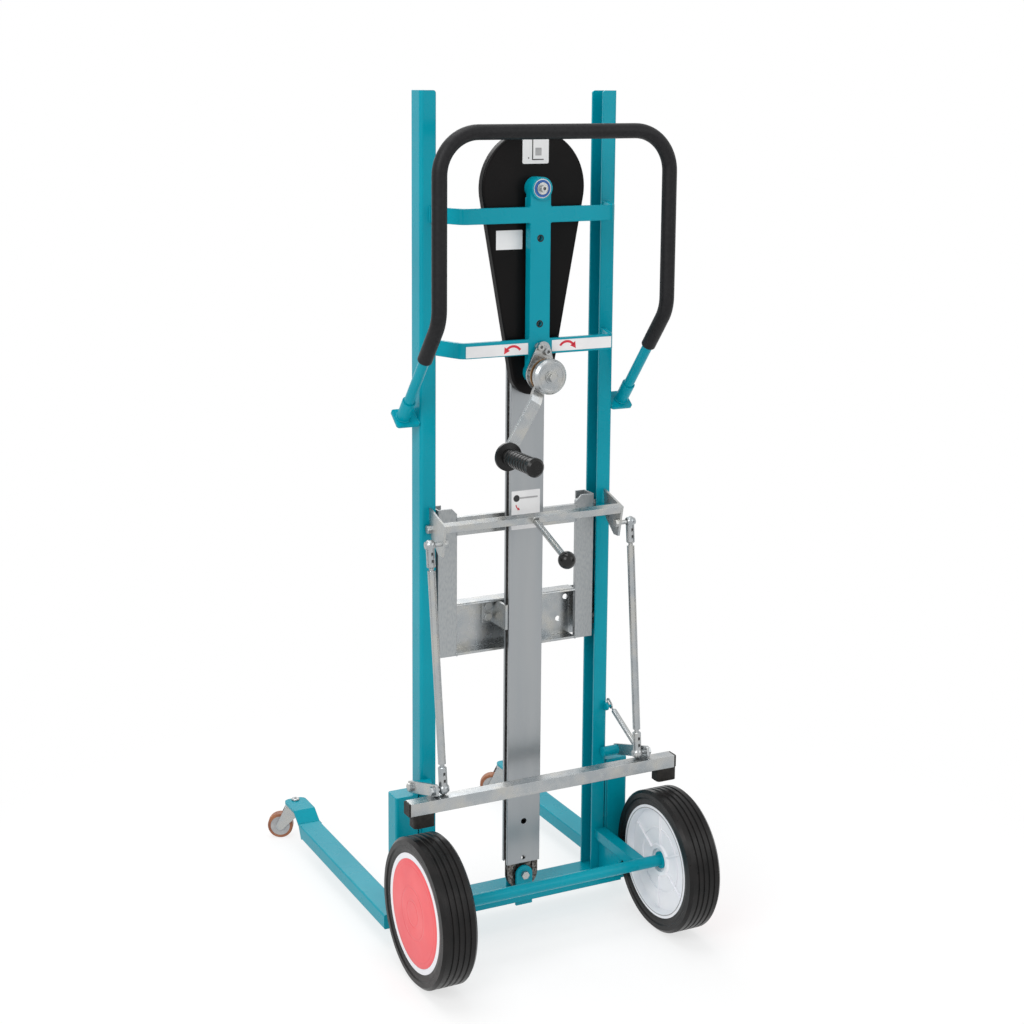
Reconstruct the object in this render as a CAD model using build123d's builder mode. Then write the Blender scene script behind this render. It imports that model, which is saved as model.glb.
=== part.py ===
from build123d import *
import os
from math import asin, atan2, cos, degrees, hypot, pi, radians, sin, sqrt

os.makedirs("parts", exist_ok=True)

# Frame: X to the operator's right, Y forward to the casters, Z up.
# The origin lies on the floor, under the middle of the two masts.

# Shared clearances and cutting overrun
overrun = 1.0
running_gap = 0.3
shaft_play = 0.05

# Masts: two channels that open towards each other
mast_half_width = 186.0
mast_depth = 40.0
mast_flange = 28.0
mast_wall = 4.0
mast_top = 1476.0
mast_bend = 6.0
mast_tip_radius = 5.0

# Base plate, legs and posts
base_top = 59.0
base_thickness = 10.0
base_rear = 60.0
base_notch = 198.0
leg_inner = 214.5
leg_width = 43.5
leg_height = 26.0
leg_rear = 24.0
leg_front = 400.0
leg_corner = 3.0
leg_wall = 3.0
leg_nose = 12.0
caster_plate_top = 76.0
caster_plate_thickness = 5.0
caster_plate_front = 486.0
caster_plate_rise = 26.0
caster_plate_corner = 12.0
post_gap = 2.0
post_width = 44.0
post_front = 20.0
post_rear = 18.0
post_top = 266.0
post_corner = 5.0
post_wall = 3.0
post_cap_thickness = 4.0

# Axle and its stays
axle_back = 160.0
axle_radius = 10.0
axle_collar_radius = 15.0
axle_collar_width = 4.0
stay_width = 22.0
stay_height = 18.0
stay_inset = 7.0
stay_rise = 3.0
gusset_thickness = 6.0
gusset_reach = 50.0

# Wheels
wheel_radius = 125.0
wheel_offset = 47.5
tyre_width = 62.0
tyre_groove_depth = 2.0
tyre_groove_width = 2.4
tyre_shoulder = 5.0
tyre_side_step = 2.0
rim_radius = 99.4
rim_half_width = 28.0
rim_lip = 4.0
hub_dish = 12.0
hub_boss_radius = 27.0
hub_boss_rise = 3.0
hub_web = 6.0
hub_pocket_radius = 21.0
hub_pocket_depth = 6.5
cap_radius = 90.0
cap_thickness = 4.0
cap_dome = 3.0
wheel_retainer_radius = 16.0
wheel_retainer_thickness = 3.0

# Casters
caster_back = 476.0
caster_wheel_radius = 25.0
caster_wheel_width = 18.0
caster_tread = 5.0
caster_trail = 30.0
caster_turn = 63.0
caster_fork_wall = 2.5
caster_race_radius = 20.0
caster_race_height = 7.0
caster_bolt_radius = 5.0
caster_head_radius = 8.0
caster_head_height = 4.0
caster_cheek_radius = 8.0
caster_axle_radius = 4.0

# Upper cross frame with the bearing beam
bar_height = 26.0
bar_thickness = 8.0
bar_rear = 92.0
bar_half = 140.5
bar_foot_half = 165.0
bar_bend = 12.0
upper_bar_z = 1273.0
lower_bar_z = 1052.5
beam_width = 38.0
beam_depth = 16.0
beam_hole_radius = 4.5
beam_hole_upper_z = 1234.0
beam_hole_lower_z = 1091.0

# Shafts, bearings and chains
crank_z = 1007.0
drive_pitch = 9.525
drive_small_teeth = 18
drive_large_teeth = 54
shaft_spacing = 309.5
shaft_radius = 6.0
bearing_radius = 16.0
bearing_width = 10.0
bearing_tube_radius = 19.0
bearing_tube_rear = 97.0
bearing_tube_front = 69.0
lift_pitch = 12.7
lift_teeth = 12
lift_half_links = 102
lift_chain_y = -43.5
lift_chain_width = 11.5
lift_plate = 2.0
lift_plate_height = 10.4
lift_roller = 4.25
lift_pin_step = 6
drive_chain_width = 9.5
drive_plate = 1.7
drive_plate_height = 8.0
drive_roller = 3.15
drive_pin_step = 6
sprocket_tip = 2.8

# Chain case
case_top_radius = 96.0
case_bottom_radius = 40.0
case_rear = 69.0
case_front = 53.0
case_wall = 2.0
case_cover = 2.0
case_edge = 4.0

# Lift column
column_half = 32.3
column_rear = 52.0
column_sheet = 2.2
column_lip = 2.5
column_bend = 1.2
column_front_y = -32.0
column_front_lip = 5.0
column_bottom = 118.0
column_front_bottom = 121.0
column_rear_top = 1000.0
column_front_top = 1342.0
column_hole_radius = 5.4
column_hole_z = 196.0
column_lower_hole_radius = 4.0
column_lower_hole_z = 128.0
column_spacer_radius = 6.0
column_spacer_count = 4

# Idler bracket
lug_half = 16.0
lug_thickness = 5.0
lug_rear_face = 56.5
lug_front_face = 16.0
lug_below = 8.0
lug_slot_play = 0.2
idler_bore_radius = 5.0
idler_thickness = 7.0

# Handle
handle_reach = 26.0
handle_back = 150.0
handle_top_z = 1411.0
handle_corner = 68.0
handle_knee_z = 1112.0
handle_knee_radius = 60.0
handle_tube_radius = 9.0
handle_tube_wall = 2.0
handle_sleeve_radius = 12.5
handle_foot_y = -6.0
handle_foot_z = 934.0
handle_sleeve_end_y = -94.4
socket_radius = 11.5
socket_length = 40.0
socket_plate_thickness = 5.0
socket_plate_edge = 16.0
socket_plate_length = 38.0

# Crank with its load brake
ratchet_plate_thickness = 4.0
ratchet_plate_radius = 28.0
ratchet_ear_radius = 13.0
ratchet_ear_x = 3.0
ratchet_ear_z = 42.0
ratchet_radius = 26.0
ratchet_thickness = 11.0
ratchet_tooth = 2.5
ratchet_teeth = 16
friction_radius = 28.0
friction_thickness = 2.0
crank_disc_radius = 30.0
crank_disc_thickness = 12.0
crank_disc_face = 136.0
crank_disc_chamfer = 4.0
crank_disc_recess = 1.0
crank_radius = 150.0
crank_drop = 58.6
crank_width = 22.0
crank_thickness = 6.0
crank_hub_y = -116.0
crank_offset = 8.0
crank_offset_start = 34.0
crank_offset_end = 52.0
crank_bolt_radius = 8.0
crank_bolt_head = 8.0
crank_washer_radius = 11.0
crank_washer = 2.0
grip_length = 102.0
grip_radius = 14.5
grip_flange_radius = 24.0
grip_flange_thickness = 5.0
grip_end_radius = 16.0
grip_end_thickness = 12.0
grip_rib_depth = 1.5
grip_rib_count = 9
grip_pin_radius = 6.0

# Carriage
carriage_gap = 5.0
carriage_profile = 36.0
carriage_depth = 34.0
carriage_lip = 20.0
carriage_inner_lip = 8.0
carriage_wall = 3.0
carriage_bend = 2.5
carriage_corner = 10.0
carriage_rear = 19.0
carriage_bottom = 508.0
carriage_top = 770.0
channel_height = 92.0
channel_depth = 30.0
channel_wall = 4.0
channel_hole_radius = 5.0
channel_hole_inset = 21.0
channel_hole_z = 540.0
channel_second_hole_inset = 6.5
channel_second_hole_z = 579.0
channel_bend = 3.0
top_bar_height = 32.0
top_bar_thickness = 8.0
top_bar_z = 738.0
tool_hole_radius = 5.25
tool_hole_lower_z = 540.0
tool_hole_upper_z = 740.0
roller_radius = 15.6
roller_width = 16.0
roller_pin_radius = 6.0
roller_lower_z = 540.0
roller_upper_z = 740.0
clamp_thickness = 5.0
clamp_height = 44.0
clamp_z = 574.0
clamp_foot = 20.0
clamp_bolt_radius = 5.0
clamp_bolt_spacing = 20.0
clamp_jaw_height = 30.0

# Parking brake: lever above, braking bar below
lever_plate_x = 168.5
lever_plate_thickness = 4.0
lever_pivot_y = -29.0
lever_pivot_z = 742.0
lever_ball_x = 193.6
lever_ball_y = -74.8
lever_ball_z = 727.4
lever_top_y = -24.5
lever_top_z = 778.0
lever_corner_y = -88.0
lever_corner_z = 759.0
lever_foot_y = -31.0
lever_foot_z = 730.0
lever_heel_y = -62.0
lever_tip_y = -76.0
lever_tip_z = 704.0
lever_lobe_radius = 8.5
lever_bar_leg = 13.0
lever_bar_thickness = 3.0
lever_rod_place = 8.5
lever_pivot_radius = 5.0
lever_boss_radius = 9.0
lever_boss_start = 156.0
lever_rod_radius = 5.5
lever_knob_radius = 15.0
lever_rod_length = 120.8
lever_rod_slope = 20.4
brake_pivot_y = -29.0
brake_pivot_z = 288.0
brake_pivot_radius = 5.0
brake_tube_radius = 9.0
brake_tube_start = 172.0
brake_arm_x = 203.5
brake_arm_thickness = 5.0
brake_arm_height = 20.0
brake_arm_corner = 3.0
brake_arm_overhang = 11.0
brake_ball_x = 190.0
brake_ball_y = -121.0
brake_ball_z = 316.0
brake_bar_size = 22.0
brake_bar_wall = 2.0
brake_bar_half = 257.0
brake_bar_y = -127.0
brake_bar_z = 295.0
brake_cap_thickness = 3.5
brake_pad_track = 237.0
brake_pad_shift = 5.6
brake_pad_width = 38.5
brake_pad_depth = 25.0
brake_pad_height = 23.0
brake_pad_corner = 6.0
brake_pad_back = 125.5
ball_radius = 6.5
ball_neck_radius = 4.0
ball_socket_radius = 9.5
ball_face_radius = 6.2
ball_face_reach = 8.6
rod_radius = 6.7
rod_housing_radius = 7.5
rod_housing_length = 38.0
rod_housing_bevel = 1.5
rod_neck_radius = 4.0
rod_neck_length = 5.0
rod_open_gap = 0.9
bolt_head_radius = 7.5
bolt_head_height = 6.0

# Return spring
spring_hook_x = 190.0
spring_hook_y = -27.0
spring_hook_z = 372.5
spring_anchor_x = 199.0
spring_anchor_y = -107.0
spring_anchor_z = 318.0
spring_radius = 4.2
spring_wire = 2.4
spring_pin_radius = 2.5
spring_loop_travel = 11.0
spring_lug_thickness = 4.0
spring_lug_x = 178.0
spring_lug_height = 14.0

# Derived places
lift_z = crank_z + shaft_spacing
lift_pitch_radius = lift_pitch / (2 * sin(pi / lift_teeth))
drive_large_radius = drive_pitch / (2 * sin(pi / drive_large_teeth))
drive_small_radius = drive_pitch / (2 * sin(pi / drive_small_teeth))
idler_z = lift_z - (lift_half_links - lift_teeth / 2) * lift_pitch
drive_y = -(case_rear - case_wall + case_front + case_cover) / 2
wheel_axis = Axis((0, -axle_back, wheel_radius), (1, 0, 0))
leg_bottom = base_top - leg_height
leg_middle = leg_inner + leg_width / 2
mast_inner_half = mast_half_width - mast_flange
handle_half = mast_half_width + handle_reach
wheel_track = mast_half_width + wheel_offset
carriage_half = mast_inner_half - carriage_gap


def save(piece, label):
    """Label a finished piece and write it to its own file."""
    piece.part.label = label
    export_step(piece.part, f"parts/{label}.step")


def side_plane(x):
    """Plane of constant X: local x runs along Y, local y along Z, normal to +X."""
    return Plane(origin=(x, 0, 0), x_dir=(0, 1, 0), z_dir=(1, 0, 0))


def rear_plane(y):
    """Plane of constant Y seen from behind: local x along X, local y along Z."""
    return Plane(origin=(0, y, 0), x_dir=(1, 0, 0), z_dir=(0, -1, 0))


# Masts
with BuildPart() as mast_right:
    with BuildSketch(Plane.XY.offset(base_top)) as profile:
        with Locations((mast_half_width - mast_flange / 2, 0)):
            Rectangle(mast_flange, mast_depth)
        fillet(profile.vertices().group_by(Axis.X)[-1], mast_bend)
        with BuildSketch(Plane.XY.offset(base_top), mode=Mode.PRIVATE) as hollow:
            with Locations((mast_half_width - mast_wall - mast_flange / 2, 0)):
                Rectangle(mast_flange, mast_depth - 2 * mast_wall)
            fillet(hollow.vertices().group_by(Axis.X)[-1], mast_bend - mast_wall)
        add(hollow.sketch, mode=Mode.SUBTRACT)
    extrude(amount=mast_top - base_top)
    tips = mast_right.edges().filter_by(Axis.Y).group_by(Axis.Z)[-1].group_by(Axis.X)[0]
    fillet(tips, mast_tip_radius)
save(mast_right, "mast_right")

with BuildPart() as mast_left:
    mirror(mast_right.part, about=Plane.YZ)
save(mast_left, "mast_left")

# Base plate between the legs, slotted for the idler bracket
with BuildPart() as base_plate:
    with BuildSketch(Plane.XY.offset(base_top - base_thickness)):
        with Locations((0, (mast_depth / 2 - base_rear) / 2)):
            Rectangle(2 * leg_inner, base_rear + mast_depth / 2)
        notch_width = leg_inner - base_notch
        notch_depth = base_rear - leg_rear
        with Locations(*[(side * (base_notch + notch_width / 2), -leg_rear - notch_depth / 2) for side in (-1, 1)]):
            Rectangle(notch_width, notch_depth, mode=Mode.SUBTRACT)
        lug_slots = [(0, -lug_rear_face + lug_thickness / 2), (0, -lug_front_face - lug_thickness / 2)]
        with Locations(*lug_slots):
            Rectangle(2 * (lug_half + lug_slot_play), lug_thickness + 2 * lug_slot_play, mode=Mode.SUBTRACT)
    extrude(amount=base_thickness)
save(base_plate, "base_plate")

# Leg with its cranked caster plate
with BuildPart() as leg_right:
    with BuildSketch(Plane.XZ.offset(leg_rear)) as section:
        with Locations((leg_middle, leg_bottom + leg_height / 2)):
            RectangleRounded(leg_width, leg_height, leg_corner)
            Rectangle(leg_width - 2 * leg_wall, leg_height - 2 * leg_wall, mode=Mode.SUBTRACT)
    extrude(amount=-(leg_rear + leg_front))
    with BuildSketch(Plane.XZ.offset(leg_rear)):
        with Locations((leg_middle, leg_bottom + leg_height / 2)):
            Rectangle(leg_width - leg_wall, leg_height - leg_wall)
    extrude(amount=-leg_wall)
    nose_bottom = leg_front - leg_nose
    with BuildSketch(side_plane(leg_inner - overrun)):
        with BuildLine():
            Polyline((leg_front, base_top - leg_wall), (leg_front + overrun, base_top - leg_wall),
                     (leg_front + overrun, leg_bottom - overrun), (nose_bottom, leg_bottom - overrun),
                     (nose_bottom, leg_bottom), close=True)
        make_face()
    extrude(amount=leg_width + 2 * overrun, mode=Mode.SUBTRACT)
    plate_bottom = caster_plate_top - caster_plate_thickness
    with BuildSketch(side_plane(leg_inner)) as bent:
        with BuildLine():
            Polyline((nose_bottom, leg_bottom), (leg_front, base_top - caster_plate_thickness),
                     (leg_front + caster_plate_rise, plate_bottom),
                     (caster_plate_front, plate_bottom), (caster_plate_front, caster_plate_top),
                     (leg_front + caster_plate_rise, caster_plate_top), (leg_front, base_top),
                     (leg_front - leg_nose, base_top), (nose_bottom - leg_wall, leg_bottom), close=True)
        make_face()
    extrude(amount=leg_width)
    front_corners = leg_right.edges().filter_by(Axis.Z).group_by(Axis.Y)[-1]
    fillet(front_corners, caster_plate_corner)
    with Locations(Plane.XY.offset(caster_plate_top)):
        with Locations((leg_middle, caster_back)):
            Hole(caster_bolt_radius)
save(leg_right, "leg_right")

with BuildPart() as leg_left:
    mirror(leg_right.part, about=Plane.YZ)
save(leg_left, "leg_left")

# Outer posts beside the masts, closed on top
with BuildPart() as posts:
    post_x = mast_half_width + post_gap + post_width / 2
    post_y = (post_front - post_rear) / 2
    post_depth = post_front + post_rear
    both_posts = [(-post_x, post_y), (post_x, post_y)]
    with BuildSketch(Plane.XY.offset(base_top)):
        with Locations(*both_posts):
            RectangleRounded(post_width, post_depth, post_corner)
    extrude(amount=post_top - base_top)
    with BuildSketch(Plane.XY.offset(base_top)):
        with Locations(*both_posts):
            Rectangle(post_width - 2 * post_wall, post_depth - 2 * post_wall)
    extrude(amount=post_top - post_cap_thickness - base_top, mode=Mode.SUBTRACT)
    fillet(posts.edges().group_by(Axis.Z)[-1], post_wall / 2)
save(posts, "posts")

# Axle rod with its collars and retaining rings, stays to the masts and gussets
rim_inner_face = wheel_track - rim_half_width
rim_outer_face = wheel_track + rim_half_width
axle_end = wheel_track + rim_half_width - cap_thickness - wheel_retainer_thickness - running_gap
hub_seat = rim_inner_face + hub_dish - hub_boss_rise + hub_pocket_depth
stay_centre = mast_inner_half + stay_inset + stay_width / 2
with BuildPart() as axle_frame:
    with BuildSketch(side_plane(-axle_end)):
        with Locations((-axle_back, wheel_radius)):
            Circle(axle_radius)
    extrude(amount=2 * axle_end)
    for side in (-1, 1):
        with BuildSketch(side_plane(side * stay_centre - stay_width / 2)):
            with BuildLine():
                Polyline((-mast_depth / 2, wheel_radius + stay_rise - stay_height / 2),
                         (-mast_depth / 2, wheel_radius + stay_rise + stay_height / 2),
                         (-axle_back, wheel_radius + stay_height / 2),
                         (-axle_back, wheel_radius - stay_height / 2), close=True)
            make_face()
        extrude(amount=stay_width)
        with BuildSketch(side_plane(side * stay_centre - gusset_thickness / 2)):
            with BuildLine():
                Polyline((-mast_depth / 2, base_top), (-base_rear, base_top),
                         (-base_rear - gusset_reach, wheel_radius), (-mast_depth / 2, wheel_radius), close=True)
            make_face()
        extrude(amount=gusset_thickness)
        for ring_start, ring_radius, ring_width in (
                (hub_seat - running_gap - axle_collar_width, axle_collar_radius, axle_collar_width),
                (axle_end, wheel_retainer_radius, wheel_retainer_thickness)):
            with BuildSketch(side_plane(side * ring_start)):
                with Locations((-axle_back, wheel_radius)):
                    Circle(ring_radius)
            extrude(amount=side * ring_width)
save(axle_frame, "axle_frame")

# Upper cross frame: two bent bars, the bearing beam and two bearing tubes
with BuildPart() as upper_cross_frame:
    for bar_z in (lower_bar_z, upper_bar_z):
        with BuildLine() as run:
            FilletPolyline((-bar_foot_half, -mast_depth / 2, bar_z), (-bar_half, bar_thickness / 2 - bar_rear, bar_z),
                           (bar_half, bar_thickness / 2 - bar_rear, bar_z), (bar_foot_half, -mast_depth / 2, bar_z),
                           radius=bar_bend)
        start = run.line @ 0
        along = run.line % 0
        with BuildSketch(Plane(origin=start, x_dir=(0, 0, 1), z_dir=along)):
            Rectangle(bar_height, bar_thickness)
        sweep(path=run.line)
    with BuildSketch(Plane.XY.offset(crank_z)):
        with Locations((0, beam_depth / 2 - bar_rear)):
            Rectangle(beam_width, beam_depth)
    extrude(amount=shaft_spacing)
    with BuildSketch(rear_plane(-bearing_tube_front)):
        with Locations((0, crank_z), (0, lift_z)):
            Circle(bearing_tube_radius)
    extrude(amount=bearing_tube_rear - bearing_tube_front)
    with BuildSketch(rear_plane(-bearing_tube_front + overrun)):
        with Locations((0, crank_z), (0, lift_z)):
            Circle(bearing_radius)
    extrude(amount=bearing_tube_rear - bearing_tube_front + 2 * overrun, mode=Mode.SUBTRACT)
    with BuildSketch(rear_plane(-bar_rear + beam_depth + overrun)):
        with Locations((0, beam_hole_lower_z), (0, beam_hole_upper_z)):
            Circle(beam_hole_radius)
    extrude(amount=beam_depth + 2 * overrun, mode=Mode.SUBTRACT)
    # Bar ends are trimmed flush with the rear faces of the masts
    with BuildSketch(Plane.XY.offset(crank_z)):
        Rectangle(2 * mast_half_width, mast_depth)
    extrude(amount=shaft_spacing, mode=Mode.SUBTRACT)
save(upper_cross_frame, "upper_cross_frame")

# Bearings on both shafts
bearing_faces = [(crank_z, bearing_tube_rear), (crank_z, bearing_tube_front + bearing_width),
                 (lift_z, bearing_tube_rear), (lift_z, bearing_tube_front + bearing_width),
                 (lift_z, -column_front_y)]
with BuildPart() as shaft_bearings:
    for bearing_z, bearing_rear in bearing_faces:
        with BuildSketch(rear_plane(-bearing_rear)):
            with Locations((0, bearing_z)):
                Circle(bearing_radius)
                Circle(shaft_radius + shaft_play, mode=Mode.SUBTRACT)
        extrude(amount=-bearing_width)
save(shaft_bearings, "shaft_bearings")


def case_outline(inset):
    """Teardrop around both sprockets, drawn in a rear plane."""
    with BuildSketch(mode=Mode.PRIVATE) as drop:
        with Locations((0, lift_z)):
            Circle(case_top_radius - inset)
        with Locations((0, crank_z)):
            Circle(case_bottom_radius - inset)
        make_hull()
    return drop.sketch


# Chain case: a pressed shell behind, a flat cover in front
with BuildPart() as chain_case:
    with BuildSketch(rear_plane(-case_front - case_cover)):
        add(case_outline(0))
    extrude(amount=case_rear - case_front - case_cover)
    fillet(chain_case.edges().group_by(Axis.Y)[0], case_edge)
    with BuildSketch(rear_plane(-case_front - case_cover)):
        add(case_outline(case_wall))
    extrude(amount=case_rear - case_front - case_cover - case_wall, mode=Mode.SUBTRACT)
    with BuildSketch(rear_plane(-case_front)):
        with Locations((0, crank_z), (0, lift_z)):
            Circle(bearing_radius)
    extrude(amount=case_rear - case_front + overrun, mode=Mode.SUBTRACT)
save(chain_case, "chain_case")

with BuildPart() as chain_case_cover:
    with BuildSketch(rear_plane(-case_front)):
        add(case_outline(0))
        with Locations((0, lift_z)):
            Circle(shaft_radius + running_gap, mode=Mode.SUBTRACT)
    extrude(amount=case_cover)
save(chain_case_cover, "chain_case_cover")

# Lift column: two facing sheet channels with the lift chain between them
with BuildPart() as column_rear_channel:
    rear_y = -column_rear
    with BuildSketch(Plane.XY.offset(column_bottom)) as sheet:
        with BuildLine():
            Polyline((-column_half, rear_y), (column_half, rear_y), (column_half, rear_y + column_sheet + column_lip),
                     (column_half - column_sheet, rear_y + column_sheet + column_lip),
                     (column_half - column_sheet, rear_y + column_sheet),
                     (column_sheet - column_half, rear_y + column_sheet),
                     (column_sheet - column_half, rear_y + column_sheet + column_lip),
                     (-column_half, rear_y + column_sheet + column_lip), close=True)
        make_face()
        fillet(sheet.vertices().group_by(Axis.Y)[0], column_bend)
    extrude(amount=column_rear_top - column_bottom)
    with BuildSketch(rear_plane(rear_y + column_sheet + overrun)):
        with Locations((0, column_hole_z)):
            Circle(column_hole_radius)
        with Locations((0, column_lower_hole_z)):
            Circle(column_lower_hole_radius)
    extrude(amount=column_sheet + 2 * overrun, mode=Mode.SUBTRACT)
save(column_rear_channel, "column_rear_channel")

with BuildPart() as column_front_channel:
    front_y = column_front_y
    with BuildSketch(Plane.XY.offset(column_front_bottom)):
        with BuildLine():
            Polyline((-column_half, front_y), (column_half, front_y), (column_half, front_y - column_front_lip),
                     (column_half - column_sheet, front_y - column_front_lip),
                     (column_half - column_sheet, front_y - column_sheet),
                     (column_sheet - column_half, front_y - column_sheet),
                     (column_sheet - column_half, front_y - column_front_lip),
                     (-column_half, front_y - column_front_lip), close=True)
        make_face()
    extrude(amount=column_front_top - column_front_bottom)
    with BuildSketch(rear_plane(front_y)):
        with Locations((0, lift_z)):
            Circle(bearing_tube_radius)
    extrude(amount=-bearing_width)
    with BuildSketch(rear_plane(front_y + bearing_width + overrun)):
        with Locations((0, lift_z)):
            Circle(bearing_radius)
    extrude(amount=bearing_width + column_sheet + 2 * overrun, mode=Mode.SUBTRACT)
save(column_front_channel, "column_front_channel")

# Spacers that hold the two channels apart between the chain strands
spacer_pitch = (column_rear_top - column_bottom) / column_spacer_count
with BuildPart() as column_spacers:
    spacer_rear = column_rear - column_sheet
    with BuildSketch(rear_plane(column_front_y - column_sheet)):
        with Locations(*[(0, column_bottom + (i + 1 / 2) * spacer_pitch) for i in range(column_spacer_count)]):
            Circle(column_spacer_radius)
    extrude(amount=spacer_rear + column_front_y - column_sheet)
    # Two bolts tie the beam, the chain case and the upper column together
    bolt_end = column_front_y - column_sheet
    with BuildSketch(rear_plane(bolt_end)):
        with Locations((0, beam_hole_lower_z), (0, beam_hole_upper_z)):
            Circle(column_spacer_radius)
    extrude(amount=case_front + bolt_end)
    with BuildSketch(rear_plane(-case_rear)):
        with Locations((0, beam_hole_lower_z), (0, beam_hole_upper_z)):
            Circle(column_spacer_radius)
    extrude(amount=bar_rear - beam_depth - case_rear)
save(column_spacers, "column_spacers")


def chain_loop(upper_radius, lower_radius, upper_z, lower_z, height):
    """Closed band of link plates around two sprockets, drawn in a rear plane."""
    with BuildSketch(mode=Mode.PRIVATE) as outer:
        with Locations((0, upper_z)):
            Circle(upper_radius + height / 2)
        with Locations((0, lower_z)):
            Circle(lower_radius + height / 2)
        make_hull()
    with BuildSketch(mode=Mode.PRIVATE) as inner:
        with Locations((0, upper_z)):
            Circle(upper_radius - height / 2)
        with Locations((0, lower_z)):
            Circle(lower_radius - height / 2)
        make_hull()
    with BuildSketch(mode=Mode.PRIVATE) as band:
        add(outer.sketch)
        add(inner.sketch, mode=Mode.SUBTRACT)
    return band.sketch


# Lift chain: link plates all round, pins on the straight strands
with BuildPart() as lift_chain:
    for plate_y in (lift_chain_y + lift_chain_width / 2, lift_chain_y - lift_chain_width / 2 + lift_plate):
        with BuildSketch(rear_plane(plate_y)):
            add(chain_loop(lift_pitch_radius, lift_pitch_radius, lift_z, idler_z, lift_plate_height))
        extrude(amount=lift_plate)
    pin_rise = lift_pin_step * lift_pitch
    pin_count = int((lift_z - idler_z) / pin_rise) - 1
    with BuildSketch(rear_plane(lift_chain_y + lift_chain_width / 2)):
        with Locations(*[(side * lift_pitch_radius, idler_z + (i + 1) * pin_rise)
                         for i in range(pin_count) for side in (-1, 1)]):
            Circle(lift_roller)
    extrude(amount=lift_chain_width)
save(lift_chain, "lift_chain")

# Drive chain inside the case
drive_slope = asin((drive_large_radius - drive_small_radius) / shaft_spacing)
with BuildPart() as drive_chain:
    for plate_y in (drive_y + drive_chain_width / 2, drive_y - drive_chain_width / 2 + drive_plate):
        with BuildSketch(rear_plane(plate_y)):
            add(chain_loop(drive_large_radius, drive_small_radius, lift_z, crank_z, drive_plate_height))
        extrude(amount=drive_plate)
    strand = shaft_spacing * cos(drive_slope)
    drive_pins = []
    for i in range(1, int(strand / (drive_pin_step * drive_pitch))):
        run_up = i * drive_pin_step * drive_pitch
        pin_x = drive_small_radius * cos(drive_slope) + run_up * sin(drive_slope)
        pin_z = crank_z - drive_small_radius * sin(drive_slope) + run_up * cos(drive_slope)
        drive_pins += [(pin_x, pin_z), (-pin_x, pin_z)]
    with BuildSketch(rear_plane(drive_y + drive_chain_width / 2)):
        with Locations(*drive_pins):
            Circle(drive_roller)
    extrude(amount=drive_chain_width)
save(drive_chain, "drive_chain")


def sprocket_outline(teeth, pitch_radius, roller, tip):
    """Toothed disc: a tip circle with one roller seat cut for each tooth."""
    with BuildSketch(mode=Mode.PRIVATE) as disc:
        Circle(pitch_radius + tip)
        with PolarLocations(pitch_radius, teeth):
            Circle(roller + running_gap / 2, mode=Mode.SUBTRACT)
    return disc.sketch


# Lift shaft with the large drive sprocket and the lift sprocket
sprocket_half = idler_thickness / 2
with BuildPart() as large_sprocket:
    with BuildSketch(Plane(origin=(0, drive_y + drive_chain_width / 2 - drive_plate - running_gap, lift_z),
                           x_dir=(1, 0, 0), z_dir=(0, -1, 0))):
        tooth_points = []
        for i in range(drive_large_teeth):
            turn = 2 * pi * i / drive_large_teeth
            gap_turn = turn + pi / drive_large_teeth
            tip_r = drive_large_radius + sprocket_tip - 1 / 2 * drive_plate
            root_r = drive_large_radius - drive_roller
            tooth_points += [(tip_r * cos(turn), tip_r * sin(turn)), (root_r * cos(gap_turn), root_r * sin(gap_turn))]
        with BuildLine():
            Polyline(*tooth_points, close=True)
        make_face()
        Circle(shaft_radius, mode=Mode.SUBTRACT)
    extrude(amount=drive_chain_width - 2 * drive_plate - 2 * running_gap)
save(large_sprocket, "large_sprocket")

with BuildPart() as lift_sprocket:
    with BuildSketch(Plane(origin=(0, lift_chain_y + sprocket_half, lift_z), x_dir=(1, 0, 0), z_dir=(0, -1, 0))):
        add(sprocket_outline(lift_teeth, lift_pitch_radius, lift_roller, sprocket_tip))
        Circle(shaft_radius, mode=Mode.SUBTRACT)
    extrude(amount=idler_thickness)
save(lift_sprocket, "lift_sprocket")

end_washer_radius = bearing_radius - shaft_radius + shaft_play
with BuildPart() as lift_shaft:
    with BuildSketch(rear_plane(column_front_y + bearing_width)):
        with Locations((0, lift_z)):
            Circle(shaft_radius)
    extrude(amount=bearing_tube_rear + column_front_y + bearing_width)
    with BuildSketch(rear_plane(-bearing_tube_rear)):
        with Locations((0, lift_z)):
            Circle(end_washer_radius)
    extrude(amount=crank_washer)
    with BuildSketch(rear_plane(-bearing_tube_rear - crank_washer)):
        with Locations((0, lift_z)):
            Circle(shaft_radius)
            RegularPolygon(shaft_radius / 2, 6, mode=Mode.SUBTRACT)
    extrude(amount=shaft_radius)
save(lift_shaft, "lift_shaft")

with BuildPart() as idler_sprocket:
    with BuildSketch(Plane(origin=(0, lift_chain_y + sprocket_half, idler_z), x_dir=(1, 0, 0), z_dir=(0, -1, 0))):
        add(sprocket_outline(lift_teeth, lift_pitch_radius, lift_roller, sprocket_tip))
        Circle(idler_bore_radius + shaft_play, mode=Mode.SUBTRACT)
    extrude(amount=idler_thickness)
save(idler_sprocket, "idler_sprocket")

# Idler bracket: two lugs through the base plate, and the bolt between them
with BuildPart() as idler_bracket:
    lug_bottom = base_top - base_thickness - lug_below
    for lug_face in (-lug_rear_face + lug_thickness, -lug_front_face):
        with BuildSketch(rear_plane(lug_face)):
            with Locations((0, idler_z)):
                Circle(lug_half)
            with Locations((0, (idler_z + lug_bottom) / 2)):
                Rectangle(2 * lug_half, idler_z - lug_bottom)
            with Locations((0, idler_z)):
                Circle(idler_bore_radius, mode=Mode.SUBTRACT)
        extrude(amount=lug_thickness)
save(idler_bracket, "idler_bracket")

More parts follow.
